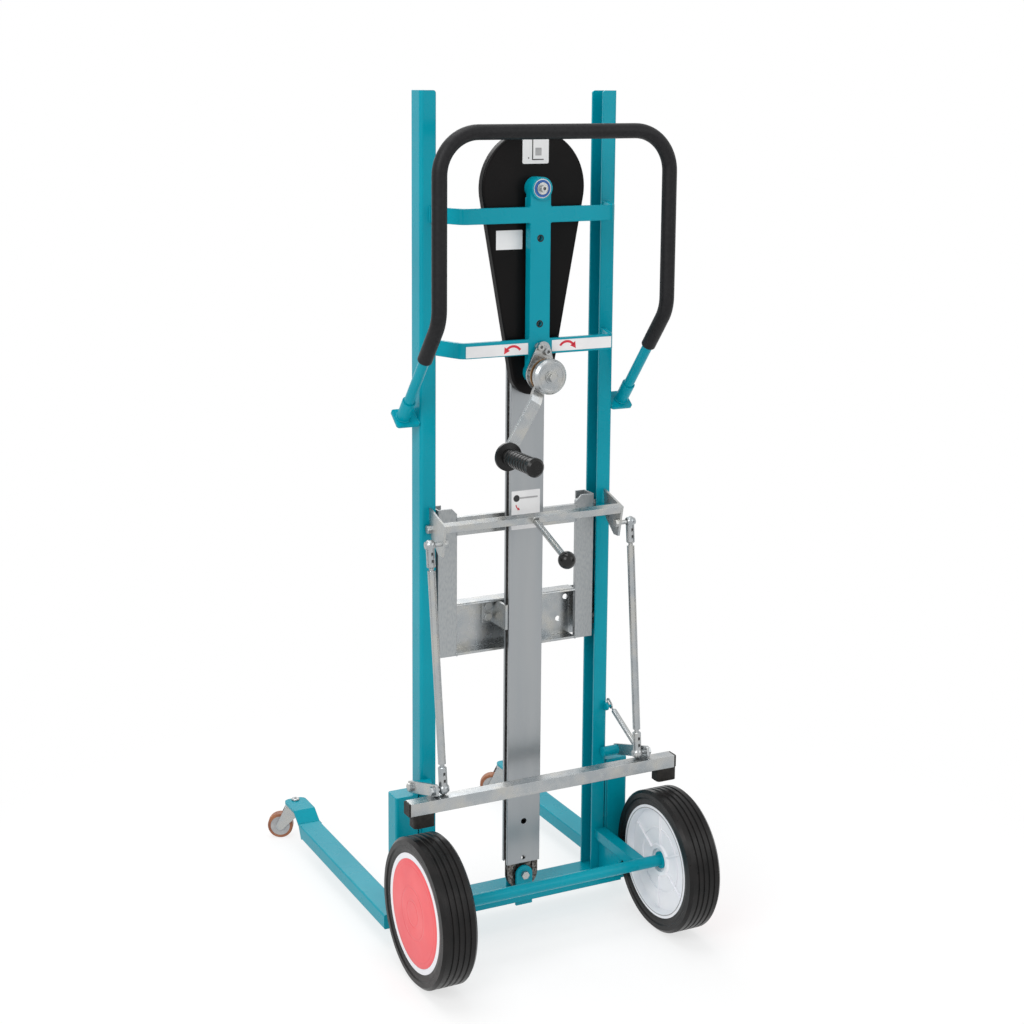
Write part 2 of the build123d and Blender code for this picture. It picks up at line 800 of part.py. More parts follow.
# Handle: sockets on the masts, bent tube and foam sleeve
slant = hypot(handle_back + handle_foot_y, handle_knee_z - handle_foot_z)
slant_y = (-handle_back - handle_foot_y) / slant
slant_z = (handle_knee_z - handle_foot_z) / slant
handle_points = [(-handle_half, handle_foot_y, handle_foot_z), (-handle_half, -handle_back, handle_knee_z),
                 (-handle_half, -handle_back, handle_top_z), (handle_half, -handle_back, handle_top_z),
                 (handle_half, -handle_back, handle_knee_z), (handle_half, handle_foot_y, handle_foot_z)]
handle_radii = [handle_knee_radius, handle_corner, handle_corner, handle_knee_radius]
with BuildPart() as handle_tube:
    with BuildLine() as handle_run:
        FilletPolyline(*handle_points, radius=handle_radii)
    with BuildSketch(Plane(origin=handle_run.line @ 0, z_dir=handle_run.line % 0)):
        Circle(handle_tube_radius)
        Circle(handle_tube_radius - handle_tube_wall, mode=Mode.SUBTRACT)
    sweep(path=handle_run.line)
save(handle_tube, "handle_tube")

sleeve_cut = (-handle_sleeve_end_y + handle_foot_y) / -slant_y
sleeve_z = handle_foot_z + sleeve_cut * slant_z
sleeve_points = list(handle_points)
sleeve_points[0] = (-handle_half, handle_sleeve_end_y, sleeve_z)
sleeve_points[-1] = (handle_half, handle_sleeve_end_y, sleeve_z)
with BuildPart() as handle_sleeve:
    with BuildLine() as sleeve_run:
        FilletPolyline(*sleeve_points, radius=handle_radii)
    with BuildSketch(Plane(origin=sleeve_run.line @ 0, z_dir=sleeve_run.line % 0)):
        Circle(handle_sleeve_radius)
        Circle(handle_tube_radius, mode=Mode.SUBTRACT)
    sweep(path=sleeve_run.line)
save(handle_sleeve, "handle_sleeve")

with BuildPart() as handle_sockets:
    slant_dir = Vector(0, slant_y, slant_z)
    socket_plate_width = handle_reach + socket_plate_edge
    for side in (-1, 1):
        foot = Vector(side * handle_half, handle_foot_y, handle_foot_z)
        plate_x = side * (mast_half_width + socket_plate_width / 2 - handle_half)
        with BuildSketch(Plane(origin=foot, x_dir=(1, 0, 0), z_dir=-slant_dir)):
            with Locations((plate_x, 0)):
                RectangleRounded(socket_plate_width, socket_plate_length, socket_plate_thickness)
        extrude(amount=socket_plate_thickness)
        with BuildSketch(Plane(origin=foot, x_dir=(1, 0, 0), z_dir=slant_dir)):
            Circle(socket_radius)
            Circle(handle_tube_radius, mode=Mode.SUBTRACT)
        extrude(amount=socket_length)
save(handle_sockets, "handle_sockets")

# Crank: fixed ratchet plate on the lower bearing tube
with BuildPart() as ratchet_plate:
    with BuildSketch(rear_plane(-bearing_tube_rear)):
        with Locations((0, crank_z)):
            Circle(ratchet_plate_radius)
        with Locations((ratchet_ear_x, crank_z + ratchet_ear_z)):
            Circle(ratchet_ear_radius)
        make_hull()
        with Locations((0, crank_z)):
            Circle(bearing_radius - shaft_radius, mode=Mode.SUBTRACT)
    extrude(amount=ratchet_plate_thickness)
save(ratchet_plate, "ratchet_plate")

# Fixed bolts: through the idler bracket, on the ratchet plate and in the four pivots
pivots = ((lever_pivot_y, lever_pivot_z, lever_boss_start, lever_boss_radius, lever_plate_x,
           lever_plate_thickness, lever_pivot_radius),
          (brake_pivot_y, brake_pivot_z, brake_tube_start, brake_tube_radius, brake_arm_x,
           brake_arm_thickness, brake_pivot_radius))
ear_screw_radius = ratchet_ear_radius / 2 - running_gap
ear_screws = [(ratchet_ear_x - ratchet_ear_radius / 2, crank_z + ratchet_ear_z + ratchet_ear_radius / 3),
              (ratchet_ear_x + ratchet_ear_radius / 2, crank_z + ratchet_ear_z - ratchet_ear_radius / 3)]
with BuildPart() as frame_bolts:
    with BuildSketch(rear_plane(-bearing_tube_rear - ratchet_plate_thickness)):
        with Locations(*ear_screws):
            Circle(ear_screw_radius)
            RegularPolygon(ear_screw_radius / 2, 6, mode=Mode.SUBTRACT)
    extrude(amount=bolt_head_height)
    with BuildSketch(rear_plane(-bar_rear)):
        with Locations(*ear_screws):
            Circle(ear_screw_radius)
    extrude(amount=bearing_tube_rear - bar_rear)
    with BuildSketch(rear_plane(-lug_front_face)):
        with Locations((0, idler_z)):
            Circle(idler_bore_radius)
    extrude(amount=lug_rear_face - lug_front_face)
    for head_face in (-lug_rear_face, bolt_head_height - lug_front_face):
        with BuildSketch(rear_plane(head_face)):
            with Locations((0, idler_z)):
                RegularPolygon(bolt_head_radius, 6)
        extrude(amount=bolt_head_height)
    for pivot_y, pivot_z, boss_start, boss_radius, plate_at, plate_thickness, pin_radius in pivots:
        for side in (-1, 1):
            with BuildSketch(side_plane(side * plate_at)):
                with Locations((pivot_y, pivot_z)):
                    Circle(pin_radius)
            extrude(amount=side * plate_thickness)
            with BuildSketch(side_plane(side * (plate_at + plate_thickness))):
                with Locations((pivot_y, pivot_z)):
                    RegularPolygon(bolt_head_radius, 6)
            extrude(amount=side * bolt_head_height)
save(frame_bolts, "frame_bolts")

# Load brake: toothed ratchet wheel, friction disc and pressure disc
ratchet_front = bearing_tube_rear + ratchet_plate_thickness
friction_front = ratchet_front + ratchet_thickness
with BuildPart() as ratchet_wheel:
    with BuildSketch(rear_plane(-ratchet_front)):
        ratchet_points = []
        for i in range(ratchet_teeth):
            tip_turn = 2 * pi * i / ratchet_teeth
            root_turn = tip_turn + pi / 2 / ratchet_teeth
            root_reach = ratchet_radius - ratchet_tooth
            ratchet_points += [(ratchet_radius * cos(tip_turn), crank_z + ratchet_radius * sin(tip_turn)),
                               (root_reach * cos(root_turn), crank_z + root_reach * sin(root_turn))]
        with BuildLine():
            Polyline(*ratchet_points, close=True)
        make_face()
        with Locations((0, crank_z)):
            Circle(shaft_radius, mode=Mode.SUBTRACT)
    extrude(amount=ratchet_thickness)
save(ratchet_wheel, "ratchet_wheel")

with BuildPart() as friction_disc:
    with BuildSketch(rear_plane(-friction_front)):
        with Locations((0, crank_z)):
            Circle(friction_radius)
            Circle(shaft_radius, mode=Mode.SUBTRACT)
    extrude(amount=friction_thickness)
save(friction_disc, "friction_disc")

disc_front = -crank_hub_y + crank_thickness
with BuildPart() as crank_disc:
    with BuildSketch(Plane(origin=(0, 0, crank_z), x_dir=(0, -1, 0), z_dir=(1, 0, 0))):
        with BuildLine():
            Polyline((disc_front, shaft_radius), (disc_front, shaft_radius + crank_disc_chamfer),
                     (crank_disc_face - crank_disc_thickness, shaft_radius + crank_disc_chamfer),
                     (crank_disc_face - crank_disc_thickness, crank_disc_radius),
                     (crank_disc_face - crank_disc_chamfer, crank_disc_radius),
                     (crank_disc_face, crank_disc_radius - crank_disc_chamfer),
                     (crank_disc_face, crank_disc_radius - 2 * crank_disc_chamfer),
                     (crank_disc_face - crank_disc_recess, crank_disc_radius - 2 * crank_disc_chamfer),
                     (crank_disc_face - crank_disc_recess, shaft_radius), close=True)
        make_face()
    revolve(axis=Axis((0, 0, crank_z), (0, -1, 0)))
save(crank_disc, "crank_disc")

with BuildPart() as crank_shaft:
    with BuildSketch(rear_plane(-case_front - case_cover - running_gap)):
        with Locations((0, crank_z)):
            Circle(shaft_radius)
    extrude(amount=crank_disc_face - crank_disc_recess - case_front - case_cover - running_gap)
    with BuildSketch(rear_plane(-friction_front - friction_thickness)):
        with Locations((0, crank_z)):
            Circle(crank_washer_radius)
    extrude(amount=-crank_hub_y - friction_front - friction_thickness)
    with BuildSketch(Plane(origin=(0, drive_y + drive_chain_width / 2 - drive_plate - running_gap, crank_z),
                           x_dir=(1, 0, 0), z_dir=(0, -1, 0))):
        add(sprocket_outline(drive_small_teeth, drive_small_radius, drive_roller, sprocket_tip - drive_plate / 2))
    extrude(amount=drive_chain_width - 2 * drive_plate - 2 * running_gap)
    with BuildSketch(rear_plane(crank_disc_recess - crank_disc_face)):
        with Locations((0, crank_z)):
            Circle(crank_washer_radius)
    extrude(amount=crank_washer)
    with BuildSketch(rear_plane(crank_disc_recess - crank_disc_face - crank_washer)):
        with Locations((0, crank_z)):
            RegularPolygon(crank_bolt_radius, 6)
    extrude(amount=crank_bolt_head)
save(crank_shaft, "crank_shaft")

# Crank arm: a flat bar cranked towards the operator, drawn along its length
arm_out = Vector(-cos(radians(crank_drop)), 0, -sin(radians(crank_drop)))
arm_side = Vector(-sin(radians(crank_drop)), 0, cos(radians(crank_drop)))
grip_centre = Vector(0, 0, crank_z) + arm_out * crank_radius
with BuildPart() as crank_arm:
    with BuildSketch(Plane(origin=Vector(0, 0, crank_z) - arm_side * (crank_width / 2), x_dir=arm_out,
                           z_dir=arm_side)) as strip:
        bend_y = crank_hub_y - crank_offset
        with BuildLine():
            Polyline((0, -crank_hub_y), (crank_offset_start, -crank_hub_y), (crank_offset_end, -bend_y),
                     (crank_radius, -bend_y), (crank_radius, -bend_y + crank_thickness),
                     (crank_offset_end - crank_thickness / 2, -bend_y + crank_thickness),
                     (crank_offset_start - crank_thickness / 2, -crank_hub_y + crank_thickness),
                     (0, -crank_hub_y + crank_thickness), close=True)
        make_face()
    extrude(amount=crank_width)
    with BuildSketch(rear_plane(crank_hub_y)):
        with Locations((0, crank_z)):
            Circle(crank_width / 2)
    extrude(amount=crank_thickness)
    with BuildSketch(rear_plane(crank_hub_y - crank_offset)):
        with Locations((grip_centre.X, grip_centre.Z)):
            Circle(crank_width / 2)
    extrude(amount=crank_thickness)
    with BuildSketch(rear_plane(crank_hub_y)):
        with Locations((0, crank_z)):
            Circle(shaft_radius)
    extrude(amount=crank_thickness, mode=Mode.SUBTRACT)
save(crank_arm, "crank_arm")

grip_start = -(crank_hub_y - crank_offset) + crank_thickness
with BuildPart() as grip_pin:
    with BuildSketch(rear_plane(-grip_start)):
        with Locations((grip_centre.X, grip_centre.Z)):
            Circle(grip_pin_radius)
    extrude(amount=grip_length - grip_end_thickness)
save(grip_pin, "grip_pin")

with BuildPart() as crank_grip:
    rib_pitch = (grip_length - grip_flange_thickness - grip_end_thickness) / grip_rib_count
    with BuildSketch(Plane(origin=(grip_centre.X, -grip_start, grip_centre.Z), x_dir=(0, -1, 0), z_dir=(1, 0, 0))):
        grip_points = [(running_gap, grip_pin_radius + shaft_play), (running_gap, grip_flange_radius),
                       (running_gap + grip_flange_thickness, grip_flange_radius)]
        for i in range(grip_rib_count):
            rib_start = grip_flange_thickness + i * rib_pitch
            grip_points += [(rib_start + rib_pitch / 4, grip_radius - grip_rib_depth),
                            (rib_start + rib_pitch / 2, grip_radius),
                            (rib_start + rib_pitch, grip_radius)]
        tail = grip_length - grip_end_thickness
        grip_points += [(tail, grip_end_radius), (grip_length - grip_end_thickness / 3, grip_end_radius),
                        (grip_length, grip_end_radius - grip_end_thickness / 3), (grip_length, 0),
                        (tail + running_gap, 0), (tail + running_gap, grip_pin_radius + shaft_play)]
        with BuildLine():
            Polyline(*grip_points, close=True)
        make_face()
    revolve(axis=Axis((grip_centre.X, 0, grip_centre.Z), (0, -1, 0)))
save(crank_grip, "crank_grip")

# Carriage: bent side channels with roller pins, tool channel, top bar, chain clamp
carriage_front = carriage_depth - carriage_rear
channel_half = carriage_half - carriage_profile
channel_hole_x = channel_half - channel_hole_inset
channel_second_hole_x = channel_half - channel_second_hole_inset
roller_x = mast_inner_half + (mast_flange - mast_wall - roller_width) / 2
with BuildPart() as carriage_sides:
    both_sides = (-1, 1)
    with BuildSketch(Plane.XY.offset(carriage_bottom)) as bent_sheet:
        with BuildLine():
            Polyline((channel_half, carriage_inner_lip - carriage_rear), (channel_half, -carriage_rear),
                     (carriage_half, -carriage_rear), (carriage_half, carriage_front),
                     (carriage_half - carriage_lip, carriage_front),
                     (carriage_half - carriage_lip, carriage_front - carriage_wall),
                     (carriage_half - carriage_wall, carriage_front - carriage_wall),
                     (carriage_half - carriage_wall, carriage_wall - carriage_rear),
                     (channel_half + carriage_wall, carriage_wall - carriage_rear),
                     (channel_half + carriage_wall, carriage_inner_lip - carriage_rear), close=True)
        make_face()
        fillet(bent_sheet.vertices().group_by(Axis.X)[-1], carriage_bend)
        mirror(about=Plane.YZ)
    extrude(amount=carriage_top - carriage_bottom)
    # The inner top corner of each rear web is cut off
    with BuildSketch(rear_plane(carriage_inner_lip - carriage_rear + overrun)):
        for side in both_sides:
            with BuildLine():
                Polyline((side * channel_half, carriage_top - carriage_corner),
                         (side * (channel_half + carriage_corner), carriage_top),
                         (side * (channel_half - overrun), carriage_top + overrun), close=True)
            make_face()
    extrude(amount=carriage_inner_lip + 2 * overrun, mode=Mode.SUBTRACT)
    with BuildSketch(rear_plane(carriage_front + overrun)):
        with Locations(*[(side * (carriage_half - carriage_lip / 2), hole_z) for side in both_sides
                         for hole_z in (tool_hole_lower_z, tool_hole_upper_z)]):
            Circle(tool_hole_radius)
    extrude(amount=carriage_wall + 2 * overrun, mode=Mode.SUBTRACT)
    for side in both_sides:
        with BuildSketch(side_plane(side * (carriage_half - carriage_wall))):
            with Locations((0, roller_lower_z), (0, roller_upper_z)):
                Circle(roller_pin_radius)
        extrude(amount=side * (roller_x + roller_width - carriage_half + carriage_wall))
save(carriage_sides, "carriage_sides")

with BuildPart() as tool_channel:
    channel_front = channel_depth - carriage_rear
    channel_top = carriage_bottom + channel_height
    with BuildSketch(side_plane(-channel_half)) as channel_section:
        with BuildLine():
            Polyline((-carriage_rear, carriage_bottom), (channel_front, carriage_bottom),
                     (channel_front, channel_top), (-carriage_rear, channel_top),
                     (-carriage_rear, channel_top - channel_wall),
                     (channel_front - channel_wall, channel_top - channel_wall),
                     (channel_front - channel_wall, carriage_bottom + channel_wall),
                     (-carriage_rear, carriage_bottom + channel_wall), close=True)
        make_face()
        fillet(channel_section.vertices().group_by(Axis.Y)[-1], channel_bend)
    extrude(amount=2 * channel_half)
    with BuildSketch(rear_plane(channel_front + overrun)):
        with Locations((channel_hole_x, channel_hole_z), (channel_second_hole_x, channel_second_hole_z)):
            Circle(channel_hole_radius)
    extrude(amount=channel_wall + 2 * overrun, mode=Mode.SUBTRACT)
save(tool_channel, "tool_channel")

with BuildPart() as carriage_top_bar:
    with BuildSketch(rear_plane(top_bar_thickness - carriage_rear)):
        with Locations((0, top_bar_z)):
            Rectangle(2 * channel_half, top_bar_height)
    extrude(amount=top_bar_thickness)
save(carriage_top_bar, "carriage_top_bar")

clamp_x = -lift_pitch_radius - lift_plate_height / 2 - running_gap
clamp_outer = -column_half - 2 * running_gap - clamp_thickness
clamp_web = channel_front - channel_wall
with BuildPart() as chain_clamp:
    with BuildSketch(Plane.XY.offset(clamp_z - clamp_height / 2)):
        with BuildLine():
            Polyline((clamp_outer - clamp_foot, clamp_web), (clamp_outer + clamp_thickness, clamp_web),
                     (clamp_outer + clamp_thickness, lift_chain_y - lift_plate_height / 2),
                     (clamp_outer, lift_chain_y - lift_plate_height / 2),
                     (clamp_outer, clamp_web - clamp_thickness),
                     (clamp_outer - clamp_foot, clamp_web - clamp_thickness), close=True)
        make_face()
    extrude(amount=clamp_height)
    jaw_depth = column_rear + column_front_y - column_sheet - column_lip - column_front_lip - 2 * running_gap
    with BuildSketch(side_plane(clamp_outer + clamp_thickness)):
        with Locations(((column_front_y - column_front_lip - column_rear + column_sheet + column_lip) / 2, clamp_z)):
            Rectangle(jaw_depth, clamp_jaw_height)
    extrude(amount=clamp_x - clamp_outer - clamp_thickness)
    with BuildSketch(rear_plane(clamp_web - clamp_thickness)):
        with Locations((clamp_outer - clamp_foot / 2, clamp_z + clamp_bolt_spacing / 2),
                       (clamp_outer - clamp_foot / 2, clamp_z - clamp_bolt_spacing / 2)):
            RegularPolygon(bolt_head_radius, 6)
    extrude(amount=bolt_head_height)
save(chain_clamp, "chain_clamp")

for roller_name, side, roller_z in (("roller_lower_left", -1, roller_lower_z),
                                    ("roller_lower_right", 1, roller_lower_z),
                                    ("roller_upper_left", -1, roller_upper_z),
                                    ("roller_upper_right", 1, roller_upper_z)):
    with BuildPart() as roller:
        with BuildSketch(side_plane(side * roller_x)):
            with Locations((0, roller_z)):
                Circle(roller_radius)
                Circle(roller_pin_radius + shaft_play, mode=Mode.SUBTRACT)
        extrude(amount=side * roller_width)
    save(roller, roller_name)

# Parking brake lever: bent side plates, cross bar, rod and ball studs
with BuildPart() as brake_lever:
    for side in (-1, 1):
        with BuildSketch(side_plane(side * lever_plate_x)) as ear:
            with BuildLine():
                Polyline((lever_top_y, lever_top_z), (lever_foot_y, lever_foot_z), (lever_heel_y, lever_tip_z),
                         (lever_tip_y, lever_tip_z), (lever_corner_y, lever_corner_z), close=True)
            make_face()
            with Locations((lever_pivot_y, lever_pivot_z)):
                Circle(lever_lobe_radius)
                Circle(lever_pivot_radius + shaft_play, mode=Mode.SUBTRACT)
        extrude(amount=side * lever_plate_thickness)
        with BuildSketch(side_plane(side * (lever_plate_x + lever_plate_thickness))):
            with Locations((lever_ball_y, lever_ball_z)):
                Circle(ball_neck_radius)
        extrude(amount=side * (lever_ball_x - lever_plate_x - lever_plate_thickness))
        with BuildSketch(side_plane(side * lever_plate_x)):
            with Locations((lever_ball_y, lever_ball_z)):
                RegularPolygon(bolt_head_radius, 6)
        extrude(amount=-side * bolt_head_height)
        with BuildSketch(Plane(origin=(side * lever_ball_x, lever_ball_y, lever_ball_z), x_dir=(0, 1, 0),
                               z_dir=(1, 0, 0))):
            with BuildLine():
                Line((0, -ball_radius), (0, ball_radius))
                ThreePointArc((0, ball_radius), (ball_radius, 0), (0, -ball_radius))
            make_face()
        revolve(axis=Axis((side * lever_ball_x, lever_ball_y, lever_ball_z), (0, 0, 1)))
    # The cross bar is an angle that lies along the upper edge of the plates
    bar_width = 2 * (lever_plate_x + lever_plate_thickness)
    bar_tilt = atan2(lever_top_z - lever_corner_z, lever_top_y - lever_corner_y)
    bar_along = Vector(0, cos(bar_tilt), sin(bar_tilt))
    bar_down = Vector(0, sin(bar_tilt), -cos(bar_tilt))
    bar_corner = Vector(0, lever_corner_y, lever_corner_z)
    with BuildSketch(Plane(origin=bar_corner - Vector(bar_width / 2, 0, 0), x_dir=bar_along, z_dir=(1, 0, 0))):
        with BuildLine():
            Polyline((0, 0), (lever_bar_leg, 0), (lever_bar_leg, -lever_bar_thickness),
                     (lever_bar_thickness, -lever_bar_thickness), (lever_bar_thickness, -lever_bar_leg),
                     (0, -lever_bar_leg), close=True)
        make_face()
    extrude(amount=bar_width)
    rod_root = bar_corner + bar_down * lever_rod_place + bar_along * lever_bar_thickness
    rod_dir = Vector(0, -cos(radians(lever_rod_slope)), -sin(radians(lever_rod_slope)))
    with BuildSketch(Plane(origin=rod_root, x_dir=(1, 0, 0), z_dir=rod_dir)):
        Circle(lever_rod_radius)
    extrude(amount=lever_rod_length - lever_knob_radius)
save(brake_lever, "brake_lever")

with BuildPart() as lever_knob:
    knob_centre = rod_root + rod_dir * lever_rod_length
    with BuildSketch(Plane(origin=knob_centre, x_dir=(1, 0, 0), z_dir=(0, 1, 0))):
        with BuildLine():
            Line((0, -lever_knob_radius), (0, lever_knob_radius))
            ThreePointArc((0, lever_knob_radius), (lever_knob_radius, 0), (0, -lever_knob_radius))
        make_face()
    revolve(axis=Axis(knob_centre, (0, 0, 1)))
    with BuildSketch(Plane(origin=knob_centre - rod_dir * (2 * lever_knob_radius), x_dir=(1, 0, 0), z_dir=rod_dir)):
        Circle(lever_rod_radius)
    extrude(amount=lever_knob_radius, mode=Mode.SUBTRACT)
save(lever_knob, "lever_knob")

# Welded pivot tubes on the masts and the spring eye on the right
with BuildPart() as pivot_bosses:
    for pivot_y, pivot_z, boss_start, boss_radius, plate_at, plate_thickness, pin_radius in pivots:
        for side in (-1, 1):
            with BuildSketch(side_plane(side * boss_start)):
                with Locations((pivot_y, pivot_z)):
                    Circle(boss_radius)
            extrude(amount=side * (plate_at - boss_start))
    with BuildSketch(side_plane(spring_lug_x)):
        lug_depth = -spring_hook_y - mast_depth / 2
        with Locations((spring_hook_y + lug_depth / 2, spring_hook_z)):
            Rectangle(lug_depth, spring_lug_height)
        with Locations((spring_hook_y, spring_hook_z)):
            Circle(spring_lug_height / 2)
    extrude(amount=spring_lug_thickness)
    with BuildSketch(side_plane(spring_lug_x + spring_lug_thickness)):
        with Locations((spring_hook_y, spring_hook_z)):
            Circle(spring_pin_radius)
    extrude(amount=spring_hook_x + spring_wire - spring_lug_x - spring_lug_thickness)
save(pivot_bosses, "pivot_bosses")

# Braking bar: square tube, two swing arms and their ball studs
arm_span = hypot(brake_ball_y - brake_pivot_y, brake_ball_z - brake_pivot_z)
arm_slope = degrees(atan2(brake_ball_z - brake_pivot_z, brake_ball_y - brake_pivot_y))
arm_middle = ((brake_pivot_y + brake_ball_y) / 2, (brake_pivot_z + brake_ball_z) / 2)
with BuildPart() as brake_bar:
    for side in (-1, 1):
        with BuildSketch(side_plane(side * brake_arm_x)):
            with Locations(Location(arm_middle, arm_slope)):
                RectangleRounded(arm_span + 2 * brake_arm_overhang, brake_arm_height, brake_arm_corner)
            with Locations((brake_pivot_y, brake_pivot_z)):
                Circle(brake_pivot_radius + shaft_play, mode=Mode.SUBTRACT)
            with Locations((brake_bar_y, brake_bar_z)):
                Rectangle(brake_bar_size, brake_bar_size, mode=Mode.SUBTRACT)
        extrude(amount=side * brake_arm_thickness)
        with BuildSketch(side_plane(side * brake_arm_x)):
            with Locations((brake_ball_y, brake_ball_z)):
                Circle(ball_neck_radius)
        extrude(amount=side * (brake_ball_x - brake_arm_x))
        with BuildSketch(side_plane(side * (brake_arm_x + brake_arm_thickness))):
            with Locations((brake_ball_y, brake_ball_z)):
                RegularPolygon(bolt_head_radius, 6)
        extrude(amount=side * bolt_head_height)
        with BuildSketch(Plane(origin=(side * brake_ball_x, brake_ball_y, brake_ball_z), x_dir=(0, 1, 0),
                               z_dir=(1, 0, 0))):
            with BuildLine():
                Line((0, -ball_radius), (0, ball_radius))
                ThreePointArc((0, ball_radius), (ball_radius, 0), (0, -ball_radius))
            make_face()
        revolve(axis=Axis((side * brake_ball_x, brake_ball_y, brake_ball_z), (0, 0, 1)))
    with BuildSketch(side_plane(-brake_bar_half)):
        with Locations((brake_bar_y, brake_bar_z)):
            Rectangle(brake_bar_size, brake_bar_size)
            Rectangle(brake_bar_size - 2 * brake_bar_wall, brake_bar_size - 2 * brake_bar_wall, mode=Mode.SUBTRACT)
    extrude(amount=2 * brake_bar_half)
    with BuildSketch(side_plane(brake_arm_x)):
        with Locations((spring_anchor_y, spring_anchor_z)):
            Circle(spring_pin_radius)
    extrude(amount=spring_anchor_x - spring_wire - brake_arm_x)
save(brake_bar, "brake_bar")

# Rubber on the braking bar: a pad over each tyre and a cap in each end
with BuildPart() as brake_rubbers:
    for side in (-1, 1):
        with BuildSketch(side_plane(side * brake_bar_half)):
            with Locations((brake_bar_y, brake_bar_z)):
                RectangleRounded(brake_bar_size, brake_bar_size, brake_bar_wall)
        extrude(amount=side * brake_cap_thickness)
        pad_x = side * brake_pad_track + brake_pad_shift
        with BuildSketch(Plane.XY.offset(brake_bar_z - brake_bar_size / 2)):
            with Locations((pad_x, -brake_pad_back)):
                RectangleRounded(brake_pad_width, brake_pad_depth, brake_pad_corner)
        extrude(amount=-brake_pad_height)
save(brake_rubbers, "brake_rubbers")

# Push rods with a ball socket at each end; the lower socket keeps a wider gap
upper_ball = Vector(lever_ball_x, lever_ball_y, lever_ball_z)
lower_ball = Vector(brake_ball_x, brake_ball_y, brake_ball_z)
rod_vector = lower_ball - upper_ball
rod_down = rod_vector.normalized()
rod_span = rod_vector.length
shoulder = sqrt(ball_socket_radius ** 2 - rod_housing_radius ** 2)
neck_end = rod_housing_length + rod_neck_length
with BuildPart() as push_rod_right:
    with BuildSketch(Plane(origin=upper_ball, x_dir=rod_down, z_dir=rod_down.cross(Vector(0, 1, 0)))):
        upper_half = [(shoulder, rod_housing_radius), (rod_housing_length - rod_housing_bevel, rod_housing_radius),
                      (rod_housing_length, rod_housing_radius - rod_housing_bevel),
                      (rod_housing_length, rod_neck_radius), (neck_end, rod_neck_radius), (neck_end, rod_radius)]
        lower_half = [(rod_span - along, radius) for along, radius in reversed(upper_half)]
        with BuildLine():
            ThreePointArc((-ball_socket_radius, 0), (0, ball_socket_radius), upper_half[0])
            Polyline(*(upper_half + lower_half))
            ThreePointArc(lower_half[-1], (rod_span, ball_socket_radius), (rod_span + ball_socket_radius, 0))
            Line((rod_span + ball_socket_radius, 0), (-ball_socket_radius, 0))
        make_face()
    revolve(axis=Axis(upper_ball, rod_down))
    for ball_at, inward, seat in ((upper_ball, 1, ball_radius + running_gap / 3),
                                  (lower_ball, -1, ball_radius + rod_open_gap)):
        with BuildSketch(Plane(origin=ball_at, x_dir=(0, 1, 0), z_dir=(inward, 0, 0))):
            Circle(ball_face_radius)
        extrude(amount=ball_face_reach)
        with BuildSketch(Plane(origin=ball_at, x_dir=(0, 1, 0), z_dir=(1, 0, 0))):
            with BuildLine():
                Line((0, -seat), (0, seat))
                ThreePointArc((0, seat), (seat, 0), (0, -seat))
            make_face()
        revolve(axis=Axis(ball_at, (0, 0, 1)), mode=Mode.SUBTRACT)
        with BuildSketch(Plane(origin=ball_at, x_dir=(0, 1, 0), z_dir=(-inward, 0, 0))):
            Circle(ball_neck_radius + rod_open_gap + running_gap)
        extrude(amount=ball_socket_radius + overrun, mode=Mode.SUBTRACT)
save(push_rod_right, "push_rod_right")

with BuildPart() as push_rod_left:
    mirror(push_rod_right.part, about=Plane.YZ)
save(push_rod_left, "push_rod_left")

# Return spring: eye on the arm pin, close-wound coil, long loop around the mast pin
hook = Vector(spring_hook_x, spring_hook_y, spring_hook_z)
anchor = Vector(spring_anchor_x, spring_anchor_y, spring_anchor_z)
spring_vector = anchor - hook
spring_dir = spring_vector.normalized()
flat_dir = Vector(0, spring_vector.Y, spring_vector.Z).normalized()
half_wire = Vector(spring_wire / 2, 0, 0)
eye_inner = spring_pin_radius + shaft_play
loop_inner = spring_pin_radius + running_gap
eye_outer = loop_inner + spring_wire
with BuildPart() as return_spring:
    with BuildSketch(Plane(origin=hook - half_wire, x_dir=flat_dir, z_dir=(1, 0, 0))):
        with Locations((-spring_loop_travel / 2, 0)):
            SlotCenterToCenter(spring_loop_travel, 2 * eye_outer)
        with Locations((3 / 2 * eye_outer, 0)):
            Rectangle(3 * eye_outer, spring_wire)
        with Locations((-spring_loop_travel / 2, 0)):
            SlotCenterToCenter(spring_loop_travel, 2 * loop_inner, mode=Mode.SUBTRACT)
    extrude(amount=spring_wire)
    with BuildSketch(Plane(origin=anchor - half_wire, x_dir=flat_dir, z_dir=(1, 0, 0))):
        Circle(eye_outer)
        with Locations((-3 / 2 * eye_outer, 0)):
            Rectangle(3 * eye_outer, spring_wire)
        Circle(eye_inner, mode=Mode.SUBTRACT)
    extrude(amount=spring_wire)
    with BuildSketch(Plane(origin=hook + spring_dir * (2 * eye_outer), x_dir=(1, 0, 0), z_dir=spring_dir)):
        Circle(spring_radius)
    extrude(amount=spring_vector.length - 4 * eye_outer)
save(return_spring, "return_spring")

